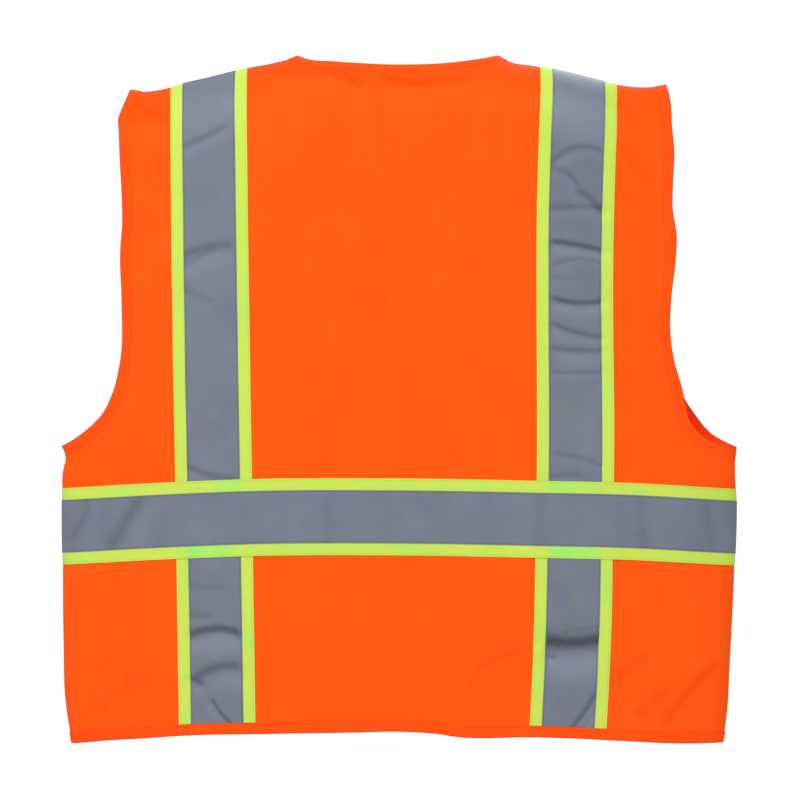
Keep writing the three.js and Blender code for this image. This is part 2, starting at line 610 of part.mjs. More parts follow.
function addLabel() {
  const outline = rectangle(...about(0, LABEL_WIDTH), LABEL_TOP - LABEL_HEIGHT, LABEL_TOP);
  const low = CLOTH_FACE + LAYER_GAP;
  const label = evenLayer(-low - LABEL_THICKNESS, -low).intersect(prism(outline, BACK));
  add("neck_label", label, WHITE_LABEL);
}

addPanels();
addBindings();
addStripes();
addWaistBand();
addZip();
addSlider();
addPull();
addPockets();
addLabel();

export default vest;
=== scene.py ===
"""A high visibility vest in orange knitted cloth, with lime-backed reflective tape, bound edges and a zip.

Every piece of cloth lies on one hollow form. A place on the form has two garment coordinates:
x, across the body, and q, the height above the hem measured so that it is 0 along the hem and the
same everywhere along the shoulder seams. Shapes are worked out in millimetres and stored in metres.
"""

import logging
import math
from dataclasses import dataclass
from enum import Enum
from typing import Sequence

import bmesh
import bpy
import numpy as np
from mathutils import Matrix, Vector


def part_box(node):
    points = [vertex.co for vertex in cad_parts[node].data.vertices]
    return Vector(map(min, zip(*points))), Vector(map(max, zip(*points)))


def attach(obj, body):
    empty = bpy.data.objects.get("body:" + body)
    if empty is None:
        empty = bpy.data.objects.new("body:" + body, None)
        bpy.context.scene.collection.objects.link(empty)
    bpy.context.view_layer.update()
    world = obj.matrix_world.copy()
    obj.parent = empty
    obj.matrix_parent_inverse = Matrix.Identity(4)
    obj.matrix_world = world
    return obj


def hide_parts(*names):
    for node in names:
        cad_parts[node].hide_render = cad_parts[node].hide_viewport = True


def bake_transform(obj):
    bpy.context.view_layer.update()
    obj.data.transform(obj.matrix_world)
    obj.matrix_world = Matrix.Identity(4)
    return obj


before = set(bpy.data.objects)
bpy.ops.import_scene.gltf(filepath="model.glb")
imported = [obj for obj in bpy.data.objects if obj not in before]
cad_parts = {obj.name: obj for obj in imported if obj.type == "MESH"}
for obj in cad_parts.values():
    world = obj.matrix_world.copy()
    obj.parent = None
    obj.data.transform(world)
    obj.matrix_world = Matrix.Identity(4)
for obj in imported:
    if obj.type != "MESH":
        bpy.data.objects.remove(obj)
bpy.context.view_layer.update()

LOG = logging.getLogger("vest")
MM = 0.001
Array = np.ndarray
Points = Sequence[tuple[float, float]]
Colour = tuple[float, float, float]
Place = tuple[float, float, float]
Heights = tuple[float, float]
Box = tuple[float, float, float, float]


class Half(Enum):
    """The back or the front of the garment, by the sign of y."""

    BACK = -1
    FRONT = 1


class Side(Enum):
    """The wearer's left or right, by the sign of x."""

    LEFT = -1
    RIGHT = 1

    @property
    def label(self) -> str:
        """The side's name as the frame's nodes spell it."""
        return self.name.lower()


# ---------------------------------------------------------------- numbers and curves


def through(points: Points, at: Array) -> Array:
    """A smooth curve through points: a cubic between each two, with the slope of their neighbours' chord.

    Args:
        points: (place, value) pairs, in rising order of place.
        at: the places to read the curve at; past its ends the curve is level.

    Returns:
        The curve's values, shaped as at.
    """
    places, values = np.array(points, float).T
    slopes = np.gradient(values, places)
    at = np.clip(at, places[0], places[-1])
    k = np.clip(np.searchsorted(places, at) - 1, 0, len(places) - 2)
    gap = places[k + 1] - places[k]
    t = (at - places[k]) / gap
    start = (2 * t**3 - 3 * t**2 + 1) * values[k] + (t**3 - 2 * t**2 + t) * gap * slopes[k]
    end = (3 * t**2 - 2 * t**3) * values[k + 1] + (t**3 - t**2) * gap * slopes[k + 1]
    return start + end


def ramp(value: Array, low: float, high: float) -> Array:
    """A smooth step from 0 at low to 1 at high: 3 t squared minus 2 t cubed."""
    t = np.clip((value - low) / (high - low), 0, 1)
    return t * t * (3 - 2 * t)


def bell(value: Array, width: float) -> Array:
    """A bell curve of height 1: e to the minus (value / width) squared."""
    return np.exp(-((value / width) ** 2))


def evenly(points: Array, step: float) -> Array:
    """The places along a line of points, as shares from 0 to 1 of its list, that lie one step apart.

    Args:
        points: the line's points, (count, 2 or 3).
        step: the distance between places.

    Returns:
        The shares, in rising order, with both ends.
    """
    lengths = np.concatenate([[0], np.cumsum(np.linalg.norm(np.diff(points, axis=0), axis=1))])
    count = max(2, round(lengths[-1] / step) + 1)
    return np.interp(np.linspace(0, lengths[-1], count), lengths, np.linspace(0, 1, len(points)))


@dataclass(frozen=True)
class Ripples:
    """Irregular waves: a sum of sines, each with its own direction, length and phase, from a seed."""

    seed: int
    length: float
    height: float
    spread: float = 0.35
    stretch: float = 1.0
    count: int = 9

    def lift(self, x: Array, z: Array) -> Array:
        """The waves' height at (x, z): the sum of sin(k . (x, z) + phase) over the waves, scaled."""
        rng = np.random.default_rng(self.seed)
        total = np.zeros(np.broadcast(x, z).shape)
        for _ in range(self.count):
            angle, phase = rng.uniform(0, math.tau, 2)
            wave = math.tau / (self.length * rng.uniform(1 - self.spread, 1 + self.spread))
            across, down = math.cos(angle) * wave, math.sin(angle) * wave / self.stretch
            total += np.sin(across * x + down * z + phase)
        return total * self.height / math.sqrt(self.count / 2)


@dataclass(frozen=True)
class Crease:
    """A pressed crease from start to end, steep above and gentle below, fading at its ends.

    Its shading number says how much painted shade darkens the grey tape along it, with a weaker painted
    highlight just below; below 0 it paints a highlight instead.
    """

    start: tuple[float, float]
    end: tuple[float, float]
    depth: float
    width: float = 3.0
    bow: float = 0.0
    tone: float = 0.0
    gentle: float = 3.2

    def across(self, x: Array, z: Array) -> tuple[Array, Array]:
        """Distance above the crease's line, which bows like a parabola, and its fade towards its ends.

        Args:
            x: places across the body.
            z: heights.

        Returns:
            The distance and the fade, which is 1 along the crease and 0 past its ends.
        """
        (x0, z0), (x1, z1) = self.start, self.end
        length = math.hypot(x1 - x0, z1 - z0)
        ex, ez = (x1 - x0) / length, (z1 - z0) / length
        t = ((x - x0) * ex + (z - z0) * ez) / length
        above = (z - z0) * ex - (x - x0) * ez - self.bow * 4 * t * (1 - t)
        return above, ramp(t, -0.08, 0.1) * ramp(-t, -1.08, -0.9)

    def lift(self, x: Array, z: Array) -> Array:
        """The crease's height: a groove shaped like a bell, wider below its line than above it."""
        above, fade = self.across(x, z)
        width = np.where(above > 0, self.width, self.width * self.gentle)
        return -self.depth * bell(above, width) * fade

    def dark(self, x: Array, z: Array) -> Array:
        """Its painted shading: painted shade in a bell just above the line, less a weak bell below it, a
        painted highlight where the tape looks lighter.
        """
        above, fade = self.across(x, z)
        deep = bell(above - 0.4 * self.width, self.width)
        light = 0.3 * bell(above + 2.6 * self.width, 2 * self.width)
        return self.tone * (deep - light) * fade


# ---------------------------------------------------------------- the form that the cloth lies on


@dataclass(frozen=True)
class Outline:
    """The garment's edges, in millimetres: x out from the middle, or z down from the neck points."""

    shoulder: Points = (
        (-275, -38), (-260, -34), (-245, -35.4), (-228, -33), (-209, -28), (-183, -22), (-157, -15.4),
        (-145, -12.3), (-127, -9), (-113, -5.8), (-104, -3.4), (-97, -0.8), (-85, 0), (85, 0),
        (97, -0.8), (104, -4.4), (113, -7.8), (127, -9.8), (152, -14.2), (180, -20.9), (205, -26.9),
        (218, -29.6), (240, -31.2), (254, -30), (261, -28.8), (275, -31),
    )
    back_neck: Points = (
        (-98, -1), (-91, -4.4), (-62, -8), (-30, -9.8), (0, -10.6), (40, -10.4), (62, -8.2), (90, -3.2),
        (98, -1),
    )
    front_neck: Points = ((-216, 10), (-168, 44), (-103, 73.5), (-43, 91), (-1, 98))
    left_armhole: Points = (
        (-379, 325), (-375, 317), (-364, 301), (-352, 288), (-329, 275), (-300, 267.5), (-236, 265.6),
        (-194, 266.9), (-160, 264.8), (-137, 265.4), (-100, 267.4), (-70, 268.8), (-63.5, 269.4),
        (-59, 268), (-36, 259.6), (-34, 259),
    )
    right_armhole: Points = (
        (-300, 266.3), (-266, 261.5), (-236, 262.6), (-199, 266.8), (-173, 267.6), (-153, 264.2),
        (-124, 264.2), (-96, 265.5), (-67, 263.2), (-50, 262.8), (-29, 259.6),
    )
    right_underarm: Points = (
        (-380, 327.5), (-375.5, 318.3), (-369, 307), (-362, 299.3), (-354, 293), (-346.6, 287.7),
        (-340.8, 283.6), (-329, 277),
    )
    right_back_underarm: Points = (
        (-380, 327.5), (-378.5, 316), (-376, 308), (-373, 300), (-369, 293.5), (-363, 287.5),
        (-355, 281.2), (-348, 278.6), (-340, 276.8), (-329, 274.6), (-321, 272.6),
    )
    left_seam: Points = (
        (-668, 315.6), (-626, 322), (-566, 324), (-496, 324.6), (-430, 325), (-402, 324.3), (-391, 321.8),
        (-384, 322.6), (-379, 325),
    )
    right_seam: Points = (
        (-668, 314.6), (-633, 319.2), (-598, 321), (-505, 325.6), (-430, 327.6), (-396, 326.6), (-380, 327.5),
    )
    hem: Points = (
        (-330, -667), (-315, -665.6), (-282, -661.6), (-250, -659.4), (-207, -656.2), (-120, -654),
        (-40, -652.6), (3, -652), (35, -653.8), (57, -657), (133, -657.4), (219, -661.4), (263, -664),
        (315, -665), (330, -665.4),
    )
    waist_top: Points = (
        (-330, -419.8), (-215, -413), (-139, -409.9), (0, -409.3), (133, -411.6), (211, -413.4),
        (330, -420.6),
    )
    left_stripe: Points = ((-660, 173.5), (-500, 176), (-402, 177.3), (-334, 178.5), (0, 183))
    right_stripe: Points = (
        (-660, 163), (-629, 164.6), (-605, 165.9), (-567, 167.4), (-528, 168.3), (-500, 168.8),
        (-400, 170.4), (-140, 170.8), (0, 175.4),
    )
    left_front_stripe: Points = ((-660, 172), (0, 183))
    right_front_stripe: Points = ((-660, 165), (0, 175.4))

    @property
    def armholes(self) -> dict[tuple[Half, Side], Points]:
        """The armhole's edge on each half and side; the back sags a little below the right arm."""
        return {
            (Half.BACK, Side.LEFT): self.left_armhole,
            (Half.BACK, Side.RIGHT): (*self.right_back_underarm, *self.right_armhole),
            (Half.FRONT, Side.LEFT): self.left_armhole,
            (Half.FRONT, Side.RIGHT): (*self.right_underarm, *self.right_armhole),
        }

    @property
    def seams(self) -> dict[Side, Points]:
        """The side seam on each side."""
        return {Side.LEFT: self.left_seam, Side.RIGHT: self.right_seam}

    @property
    def stripes(self) -> dict[tuple[Half, Side], Points]:
        """The centre line of each vertical stripe."""
        return {
            (Half.BACK, Side.LEFT): self.left_stripe,
            (Half.BACK, Side.RIGHT): self.right_stripe,
            (Half.FRONT, Side.LEFT): self.left_front_stripe,
            (Half.FRONT, Side.RIGHT): self.right_front_stripe,
        }


@dataclass
class Form:
    """The hollow form that the cloth lies on, level over the shoulders and flat in the middle of each face.

    Lengths are in millimetres. height is from hem to shoulder in q, half_width the body's usual one, flat
    the half-width of the flat middle, arch how far below the shoulder it reaches its full depth, and band
    the bands' width. waist_seams and stripe_seam are where the tapes' sewn edges lie, below the waist line and
    out from a stripe's centre. The fades are how far from each edge the drape dies away, and the turn's shade
    is how much painted shade darkens the tape where it turns over the shoulder. rows_place is how far out rows
    are spaced evenly.
    creases are the pressed creases of the back.
    """

    outline: Outline
    creases: Sequence[Crease]
    height: float = 650.0
    half_width: float = 323.0
    half_depth: float = 52.0
    flat: float = 50.0
    power: float = 2.6
    arch: float = 70.0
    band: float = 74.0
    waist_seams: tuple[float, float] = (14.0, 61.0)
    stripe_seam: float = 24.0
    seam_fade: float = 30.0
    shoulder_fade: float = 26.0
    front_fade: tuple[float, float] = (22.0, 60.0)
    dark_turn: float = 1.1
    rows_place: float = 180.0
    sway: Ripples = Ripples(seed=11, length=210, height=1.5, stretch=2.2)
    folds: Ripples = Ripples(seed=23, length=74, height=0.5, stretch=1.6)
    pucker: Ripples = Ripples(seed=31, length=8.5, height=0.09, spread=0.5)

    def __post_init__(self) -> None:
        """Works out the armholes' edges and the front neckline as places (q, x)."""
        self.edges = {(half, side): self._edge(half, side) for half in Half for side in Side}
        self.neckline = self._pairs(self.outline.front_neck, Side.RIGHT)

    def _pairs(self, points: Points, side: Side) -> list[tuple[float, float]]:
        """Places (z, x) as (q, x), of which the last is on the shoulder."""
        pairs = [(float(self.q_of(np.array(side.value * float(x)), z)), x) for z, x in points]
        return [*pairs[:-1], (self.height, pairs[-1][1])]

    def _edge(self, half: Half, side: Side) -> tuple[float, Points]:
        """The height q of the underarm, and the armhole's edge as (q, x) pairs."""
        pairs = self._pairs(self.outline.armholes[half, side], side)
        return pairs[0][0], pairs

    def shoulder(self, x: Array) -> Array:
        """Height z of the shoulder line at x."""
        return through(self.outline.shoulder, x)

    def hem(self, x: Array) -> Array:
        """Height z of the hem at x."""
        return through(self.outline.hem, x)

    def z_of(self, x: Array, q: Array) -> Array:
        """z = hem + (shoulder - hem) * q / height."""
        return self.hem(x) + (self.shoulder(x) - self.hem(x)) * q / self.height

    def q_of(self, x: Array, z: Array) -> Array:
        """The q whose z_of is z."""
        return self.height * (z - self.hem(x)) / (self.shoulder(x) - self.hem(x))

    def seam(self, side: Side, z: Array) -> Array:
        """Half-width of the body at the side seam at height z."""
        return through(self.outline.seams[side], z)

    def edge(self, side: Side, q: Array, half: Half = Half.FRONT) -> Array:
        """How far out the cloth reaches at q: the side seam below the underarm, the armhole above it.

        Args:
            side: the wearer's left or right.
            q: heights over the hem.
            half: the back or the front.

        Returns:
            The distance from the middle, above 0 on both sides.
        """
        under, armhole = self.edges[half, side]
        x = np.full(np.shape(q), self.half_width)
        for _ in range(4):
            x = self.seam(side, self.z_of(side.value * x, q))
        return np.where(q < under, x, through(armhole, np.maximum(q, under)))

    def seam_at(self, x: Array, z: Array) -> Array:
        """Half-width of the body at height z, on x's side."""
        return np.where(x < 0, self.seam(Side.LEFT, z), self.seam(Side.RIGHT, z))

    def edge_at(self, x: Array, q: Array, half: Half = Half.FRONT) -> Array:
        """How far out the cloth reaches at q, on x's side."""
        return np.where(x < 0, self.edge(Side.LEFT, q, half), self.edge(Side.RIGHT, q, half))

    def stripe(self, half: Half, side: Side, z: Array) -> Array:
        """The signed centre line x of a vertical stripe at height z."""
        return side.value * through(self.outline.stripes[half, side], z)

    def surface(self, x: Array, q: Array, half: Half) -> tuple[Array, Array]:
        """The bare form at (x, q). With s the share of the way from the flat middle to the side seam
        and u the share of the arch above the point, (y / half_depth)^2 = (1 - s^power)(1 - (1 - u)^2).

        Args:
            x: places across the body.
            q: heights over the hem.
            half: the back or the front.

        Returns:
            The points and their outward unit normals, in millimetres.
        """
        z = self.z_of(x, q)
        y = half.value * np.sqrt(np.maximum(self._square(x, z), 0))
        slope, size = self._slope(x, y, z)
        return np.stack(np.broadcast_arrays(x, y, z), axis=-1), slope / size

    def _square(self, x: Array, z: Array) -> Array:
        """y squared at (x, z), without its limit at the seams."""
        share = np.maximum(np.abs(x) - self.flat, 0) / (self.seam_at(x, z) - self.flat)
        under = np.minimum((self.shoulder(x) - z) / self.arch, 1)
        return self.half_depth**2 * (1 - (1 - under) ** 2) * (1 - share**self.power)

    def _slope(self, x: Array, y: Array, z: Array) -> tuple[Array, Array]:
        """The slope of y squared less the form's squared depth, which points outwards, and its size."""
        step = 0.25
        f_x = self._square(x + step, z) - self._square(x - step, z)
        f_z = self._square(x, z + step) - self._square(x, z - step)
        slope = np.stack([-f_x / (2 * step), 2 * y, -f_z / (2 * step)], axis=-1)
        return slope, np.maximum(np.linalg.norm(slope, axis=-1, keepdims=True), 1e-6)

    def drape(self, x: Array, q: Array, half: Half) -> Array:
        """How far the cloth stands off the form: soft sway, small folds, pressed creases, and puckers
        along the sewn edges of the tapes. It fades to nothing at the seams and the shoulder.

        Args:
            x: places across the body.
            q: heights over the hem.
            half: the back or the front.

        Returns:
            The distance in millimetres.
        """
        z = self.z_of(x, q)
        lift = self.sway.lift(x + 400 * half.value, z) + self.folds.lift(x - 300 * half.value, z)
        if half is Half.BACK:
            for crease in self.creases:
                lift = lift + crease.lift(x, z)
        inside = ramp(self.edge_at(x, q, half) - np.abs(x), -2, self.seam_fade)
        inside = inside * ramp(self.height - q, -2, self.shoulder_fade)
        if half is Half.FRONT:
            inside = inside * ramp(np.abs(x), *self.front_fade)
        return (lift + self.pucker.lift(x, z) * self.near_stitching(x, z, half)) * inside

    def tone(self, x: Array, z: Array, half: Half) -> Array:
        """Painted shade on the grey tape: how much darker it is painted in its creases and where it turns over
        the shoulder, less where a crease paints a highlight.
        """
        turn = self.dark_turn * bell(self.shoulder(x) - z, 1.6)
        if half is Half.FRONT:
            return turn
        return turn + sum(crease.dark(x, z) for crease in self.creases)

    def cloth_tone(self, x: Array, z: Array, half: Half) -> Array:
        """Painted shade on the body cloth: seven tenths of the tape's painted shading, and a soft painted
        shade along and just below the shoulder.
        """
        return 0.7 * self.tone(x, z, half) + 0.3 * bell(self.shoulder(x) - z, 30)

    def near_stitching(self, x: Array, z: Array, half: Half) -> Array:
        """1 on a sewn edge of a tape, falling to 0 about a centimetre away."""
        below = through(self.outline.waist_top, x) - z
        near = sum(bell(below - seam, 6) for seam in self.waist_seams)
        for side in Side:
            away = np.abs(x - self.stripe(half, side, z))
            near = near + bell(away - self.stripe_seam, 5)
        return np.clip(near, 0, 1)

    def banded(self, x: Array, q: Array, half: Half) -> Array:
        """1 under the bands, 0 outside them, with a soft edge.

        Args:
            x: places across the body.
            q: heights over the hem.
            half: the back or the front.

        Returns:
            The mask.
        """
        z = self.z_of(x, q)
        below = through(self.outline.waist_top, x) - z
        mask = ramp(below, -1, 3) * ramp(-below, -self.band - 2, -self.band + 2)
        for side in Side:
            away = np.abs(x - self.stripe(half, side, z))
            mask = np.maximum(mask, ramp(-away, -self.band / 2 - 2, -self.band / 2 + 2))
        return mask

    def place(self, x: Array, q: Array, half: Half, height: Array) -> Array:
        """The draped point at (x, q), height millimetres outside the middle of the body cloth.

        Args:
            x: places across the body.
            q: heights over the hem.
            half: the back or the front.
            height: distance outside the middle of the body cloth.

        Returns:
            The points in metres.
        """
        point, normal = self.surface(x, q, half)
        stand = self.drape(x, q, half) + height
        return (point + normal * stand[..., None]) * MM

    def snap(self, point: Array) -> tuple[Array, Array]:
        """Moves points in millimetres on to the bare form by Newton's step: p - (y^2 - f) g / |g|^2,
        where f is the form's squared depth and g the slope of y^2 - f.

        Args:
            point: the points, (..., 3).

        Returns:
            The points on the form and their outward unit normals.
        """
        for _ in range(4):
            x, y, z = point[..., 0], point[..., 1], point[..., 2]
            slope, size = self._slope(x, y, z)
            point = point - (y * y - self._square(x, z))[..., None] * slope / size**2
        return point, slope / size

    def drape_at(self, point: Array, half: Half) -> Array:
        """The drape's height at a point of the form."""
        x, z = point[..., 0], point[..., 2]
        return self.drape(x, self.q_of(x, z), half)

    def columns(self, step: float, start: float, stop: float) -> Array:
        """Places across the body, from start to stop of the half-width, a step apart round the form."""
        x = np.linspace(start, stop, 2001) * self.half_width
        line = self.surface(x, np.full_like(x, self.height / 5), Half.BACK)[0]
        return start + (stop - start) * evenly(line, step)

    def rows(self, step: float, low: float, high: float) -> Array:
        """Heights q from low to high, a step apart over the form."""
        q = np.linspace(low, high, 2001)
        line = self.surface(np.full_like(q, self.rows_place), q, Half.BACK)[0]
        return low + (high - low) * evenly(line, step)


# ---------------------------------------------------------------- meshes


@dataclass(frozen=True)
class Slab:
    """A thin closed body between an outer and an inner grid of points, in metres.

    closed joins its last row to its first. marks are a number for each place, kept on both faces.
    """

    outer: Array
    inner: Array
    closed: bool = False
    marks: Array | None = None

    def sizes(self) -> tuple[Array, Array]:
        """The distance along the grid of each row and each column, in metres, by its middle lines.

        Returns:
            The rows' distances, with the first again at the end of a closed grid, and the columns'.
        """
        rows, columns = self.outer.shape[:2]
        down = self.outer[:, columns // 2]
        across = self.outer[rows // 2]
        if self.closed:
            down = np.vstack([down, down[:1]])
        steps = [np.linalg.norm(np.diff(line, axis=0), axis=1) for line in (down, across)]
        v, u = (np.concatenate([[0], np.cumsum(step)]) for step in steps)
        return v, u

    def area(self) -> float:
        """Area of the outer grid in square metres: half the length of the cross product of each cell's
        diagonals."""
        g = np.concatenate([self.outer, self.outer[:1]]) if self.closed else self.outer
        cross = np.cross(g[1:, 1:] - g[:-1, :-1], g[1:, :-1] - g[:-1, 1:])
        return float(np.linalg.norm(cross, axis=-1).sum() / 2)

    def build(self, name: str) -> bpy.types.Object:
        """Both grids, with rims between their edges; faces are turned outwards by the sign of the volume.

        Args:
            name: the piece's name.

        Returns:
            The piece, with arc lengths in metres as its UV map.
        """
        m, n = self.outer.shape[:2]
        v, u = self.sizes()
        down, along = np.arange(m if self.closed else m - 1), np.arange(n - 1)
        i, j = (grid.ravel() for grid in np.meshgrid(down, along, indexing="ij"))
        faces = [
            self._faces(i, j, (0, 0, 0), (1, 0, 0), (1, 1, 0), (0, 1, 0)),
            self._faces(i, j, (0, 0, 1), (0, 1, 1), (1, 1, 1), (1, 0, 1)),
            self._faces(down, 0 * down, (0, 0, 0), (0, 0, 1), (1, 0, 1), (1, 0, 0)),
            self._faces(down, 0 * down + n - 1, (0, 0, 0), (1, 0, 0), (1, 0, 1), (0, 0, 1)),
        ]
        if not self.closed:
            faces.append(self._faces(0 * along, along, (0, 0, 0), (0, 1, 0), (0, 1, 1), (0, 0, 1)))
            faces.append(self._faces(0 * along + m - 1, along, (0, 0, 0), (0, 0, 1), (0, 1, 1), (0, 1, 0)))
        corners = np.concatenate(faces)
        points = np.concatenate([self.outer.reshape(-1, 3), self.inner.reshape(-1, 3)])
        index = corners[..., 2] * (m * n) + (corners[..., 0] % m) * n + corners[..., 1]
        uv = np.stack([u[corners[..., 1]], v[corners[..., 0]]], axis=-1)
        marks = None if self.marks is None else np.concatenate([self.marks.ravel(), self.marks.ravel()])
        return mesh_of(name, points, index, uv, marks)

    @staticmethod
    def _faces(rows: Array, columns: Array, *steps: tuple[int, int, int]) -> Array:
        """Four (row, column, layer) corners for each face: its place in the grid plus each of the steps."""
        place = np.stack([rows, columns, 0 * rows], axis=-1)
        return place[:, None, :] + np.array(steps)[None]


def volume(points: Array, faces: Array) -> float:
    """Signed volume of a closed mesh of quads: a sixth of the triple products of its two triangles."""
    a, b, c, d = (points[faces[:, k]] for k in range(4))
    halves = np.einsum("ij,ij->i", a, np.cross(b, c)) + np.einsum("ij,ij->i", a, np.cross(c, d))
    return float(halves.sum() / 6)


def put(name: str, data: bpy.types.ID) -> bpy.types.Object:
    """An object of that name and data, put into the scene."""
    made = bpy.data.objects.new(name, data)
    bpy.context.scene.collection.objects.link(made)
    return made


def smooth_mesh(name: str, points: Array, faces: Sequence) -> bpy.types.Mesh:
    """A mesh of these points and faces, all shaded smooth."""
    mesh = bpy.data.meshes.new(name)
    mesh.from_pydata(points.tolist(), [], faces)
    mesh.polygons.foreach_set("use_smooth", np.ones(len(faces), bool))
    return mesh


def mesh_of(
    name: str, points: Array, faces: Array, uv: Array | None = None, marks: Array | None = None
) -> bpy.types.Object:
    """Puts points and four-cornered faces into a mesh, and its object into the scene.

    Args:
        name: the piece's name.
        points: (count, 3) places in metres.
        faces: (count, 4) indices.
        uv: (count, 4, 2) places on the cloth in metres.
        marks: one number for each point, kept as the attribute "mark".

    Returns:
        The object, at the origin, with smooth faces that point outwards.
    """
    if volume(points, faces) < 0:
        faces = faces[:, ::-1]
        uv = None if uv is None else uv[:, ::-1]
    mesh = smooth_mesh(name, points, faces.tolist())
    if uv is not None:
        mesh.uv_layers.new(name="cloth").data.foreach_set("uv", uv.reshape(-1).astype(np.float32))
    if marks is not None:
        mesh.attributes.new("mark", "FLOAT", "POINT").data.foreach_set("value", marks.astype(np.float32))
    mesh.update()
    return put(name, mesh)


def triangles_of(name: str, points: Array, faces: Array) -> bpy.types.Object:
    """A piece whose four-cornered faces may have two corners alike, which makes them triangles.

    Args:
        name: the piece's name.
        points: (count, 3) places in metres.
        faces: (count, 4) indices.

    Returns:
        The object, at the origin, with smooth faces whose normals are worked out anew.
    """
    mesh = smooth_mesh(name, points, [tuple(dict.fromkeys(face)) for face in faces.tolist()])
    work = bmesh.new()
    work.from_mesh(mesh)
    bmesh.ops.recalc_face_normals(work, faces=work.faces)
    work.to_mesh(mesh)
    work.free()
    mesh.uv_layers.new(name="cloth")
    mesh.update()
    return put(name, mesh)


def sharpen(piece: bpy.types.Object, degrees: float = 40) -> None:
    """Marks the edges that turn by more than an angle as sharp, so that rims stay crisp."""
    piece.data.set_sharp_from_angle(angle=math.radians(degrees))


# ---------------------------------------------------------------- materials


class Signal:
    """A number carried by a socket, which can be used in sums."""

    def __init__(self, nodes: "Nodes", socket: bpy.types.NodeSocket) -> None:
        """Args:
        nodes: the material's node maker.
        socket: the output that carries the number.
        """
        self.nodes = nodes
        self.socket = socket

    def math(self, operation: str, *values: "Signal | float") -> "Signal":
        """A Math node of that operation on these values."""
        made = self.nodes.add("ShaderNodeMath", {"operation": operation}, dict(enumerate(values)))
        return Signal(self.nodes, made.outputs[0])

    def __add__(self, other: "Signal | float") -> "Signal":
        """self + other."""
        return self.math("ADD", self, other)

    def __radd__(self, other: float) -> "Signal":
        """other + self."""
        return self.math("ADD", other, self)

    def __sub__(self, other: "Signal | float") -> "Signal":
        """self - other."""
        return self.math("SUBTRACT", self, other)

    def __rsub__(self, other: float) -> "Signal":
        """other - self."""
        return self.math("SUBTRACT", other, self)

    def __mul__(self, other: "Signal | float") -> "Signal":
        """self * other."""
        return self.math("MULTIPLY", self, other)

    def __rmul__(self, other: float) -> "Signal":
        """other * self."""
        return self.math("MULTIPLY", other, self)

    def wave(self, length: float) -> "Signal":
        """A sine wave of that length along self."""
        return self.math("SINE", self * (math.tau / length))

    def clipped(self) -> "Signal":
        """Self held between 0 and 1."""
        return self.math("MINIMUM", self.math("MAXIMUM", self, 0.0), 1.0)


class Nodes:
    """A material's node tree, and the one way that nodes are put into it."""

    def __init__(self, name: str) -> None:
        """Makes an empty material of that name."""
        self.material = bpy.data.materials.new(name)
        self.material.use_nodes = True
        self.material.node_tree.nodes.clear()

    def add(self, kind: str, settings: dict | None = None, values: dict | None = None) -> bpy.types.Node:
        """Makes a node.

        Args:
            kind: the node's type.
            settings: its settings; "stops" gives a ramp's (place, colour) pairs.
            values: what each input socket, by name or number, is set to or linked from.

        Returns:
            The node.
        """
        node = self.material.node_tree.nodes.new(kind)
        for key, value in (settings or {}).items():
            if key == "stops":
                self._stops(node.color_ramp, value)
            else:
                setattr(node, key, value)
        for key, value in (values or {}).items():
            source = value.socket if isinstance(value, Signal) else value
            if isinstance(source, bpy.types.NodeSocket):
                self.material.node_tree.links.new(source, node.inputs[key])
            else:
                node.inputs[key].default_value = source
        return node

    @staticmethod
    def _stops(ramp: bpy.types.ColorRamp, stops: Sequence[tuple[float, tuple]]) -> None:
        """Sets a ramp's stops."""
        while len(ramp.elements) < len(stops):
            ramp.elements.new(1.0)
        for element, (place, colour) in zip(ramp.elements, stops):
            element.position = place
            element.color = (*colour, 1)

    def object_place(self) -> bpy.types.NodeSocket:
        """The place on the object, in metres."""
        return self.add("ShaderNodeTexCoord").outputs["Object"]

    def cloth_place(self) -> tuple[Signal, Signal]:
        """Distances across and along the cloth, in metres, from its own UV map."""
        uv = self.add("ShaderNodeUVMap", {"uv_map": "cloth"})
        split = self.add("ShaderNodeSeparateXYZ", None, {0: uv.outputs[0]})
        return Signal(self, split.outputs[0]), Signal(self, split.outputs[1])

    def mark(self) -> Signal:
        """The piece's own mark attribute."""
        return Signal(self, self.add("ShaderNodeAttribute", {"attribute_name": "mark"}).outputs["Fac"])

    def noise(self, size: float, detail: float = 2, vector: bpy.types.NodeSocket | None = None) -> Signal:
        """Cloudy noise from 0 to 1, with features of a size in metres."""
        place = vector or self.object_place()
        values = {"Vector": place, "Scale": 1 / size, "Detail": detail, "Roughness": 0.55}
        return Signal(self, self.add("ShaderNodeTexNoise", None, values).outputs[0])

    def streaks(self, size: float, length: float) -> Signal:
        """Noise drawn out upwards, with streaks of that size across and that length."""
        scale = (1 / size, 1 / size, 1 / length)
        moved = self.add("ShaderNodeMapping", None, {"Vector": self.object_place(), "Scale": scale})
        values = {"Vector": moved.outputs[0], "Scale": 1.0, "Detail": 2}
        return Signal(self, self.add("ShaderNodeTexNoise", None, values).outputs[0])

    def mix(
        self, share: Signal, a: Colour | bpy.types.NodeSocket, b: Colour | bpy.types.NodeSocket
    ) -> bpy.types.NodeSocket:
        """A colour between a and b."""
        made = self.add("ShaderNodeMix", {"data_type": "RGBA"}, {0: share, 6: rgba(a), 7: rgba(b)})
        return made.outputs[2]

    def bump(self, height: Signal, depth: float, strength: float = 1.0) -> bpy.types.NodeSocket:
        """A normal from a height that runs from 0 to 1 over a depth in metres."""
        values = {"Height": height, "Distance": depth, "Strength": strength}
        return self.add("ShaderNodeBump", None, values).outputs[0]

    def finish(self, values: dict) -> bpy.types.Material:
        """Ends the material in one principled shader with these values."""
        shader = self.add("ShaderNodeBsdfPrincipled", None, values)
        self.add("ShaderNodeOutputMaterial", None, {"Surface": shader.outputs[0]})
        return self.material


def rgba(colour: Colour | bpy.types.NodeSocket) -> Box | bpy.types.NodeSocket:
    """A colour with its alpha; a socket is left alone."""
    return (*colour, 1) if isinstance(colour, tuple) else colour


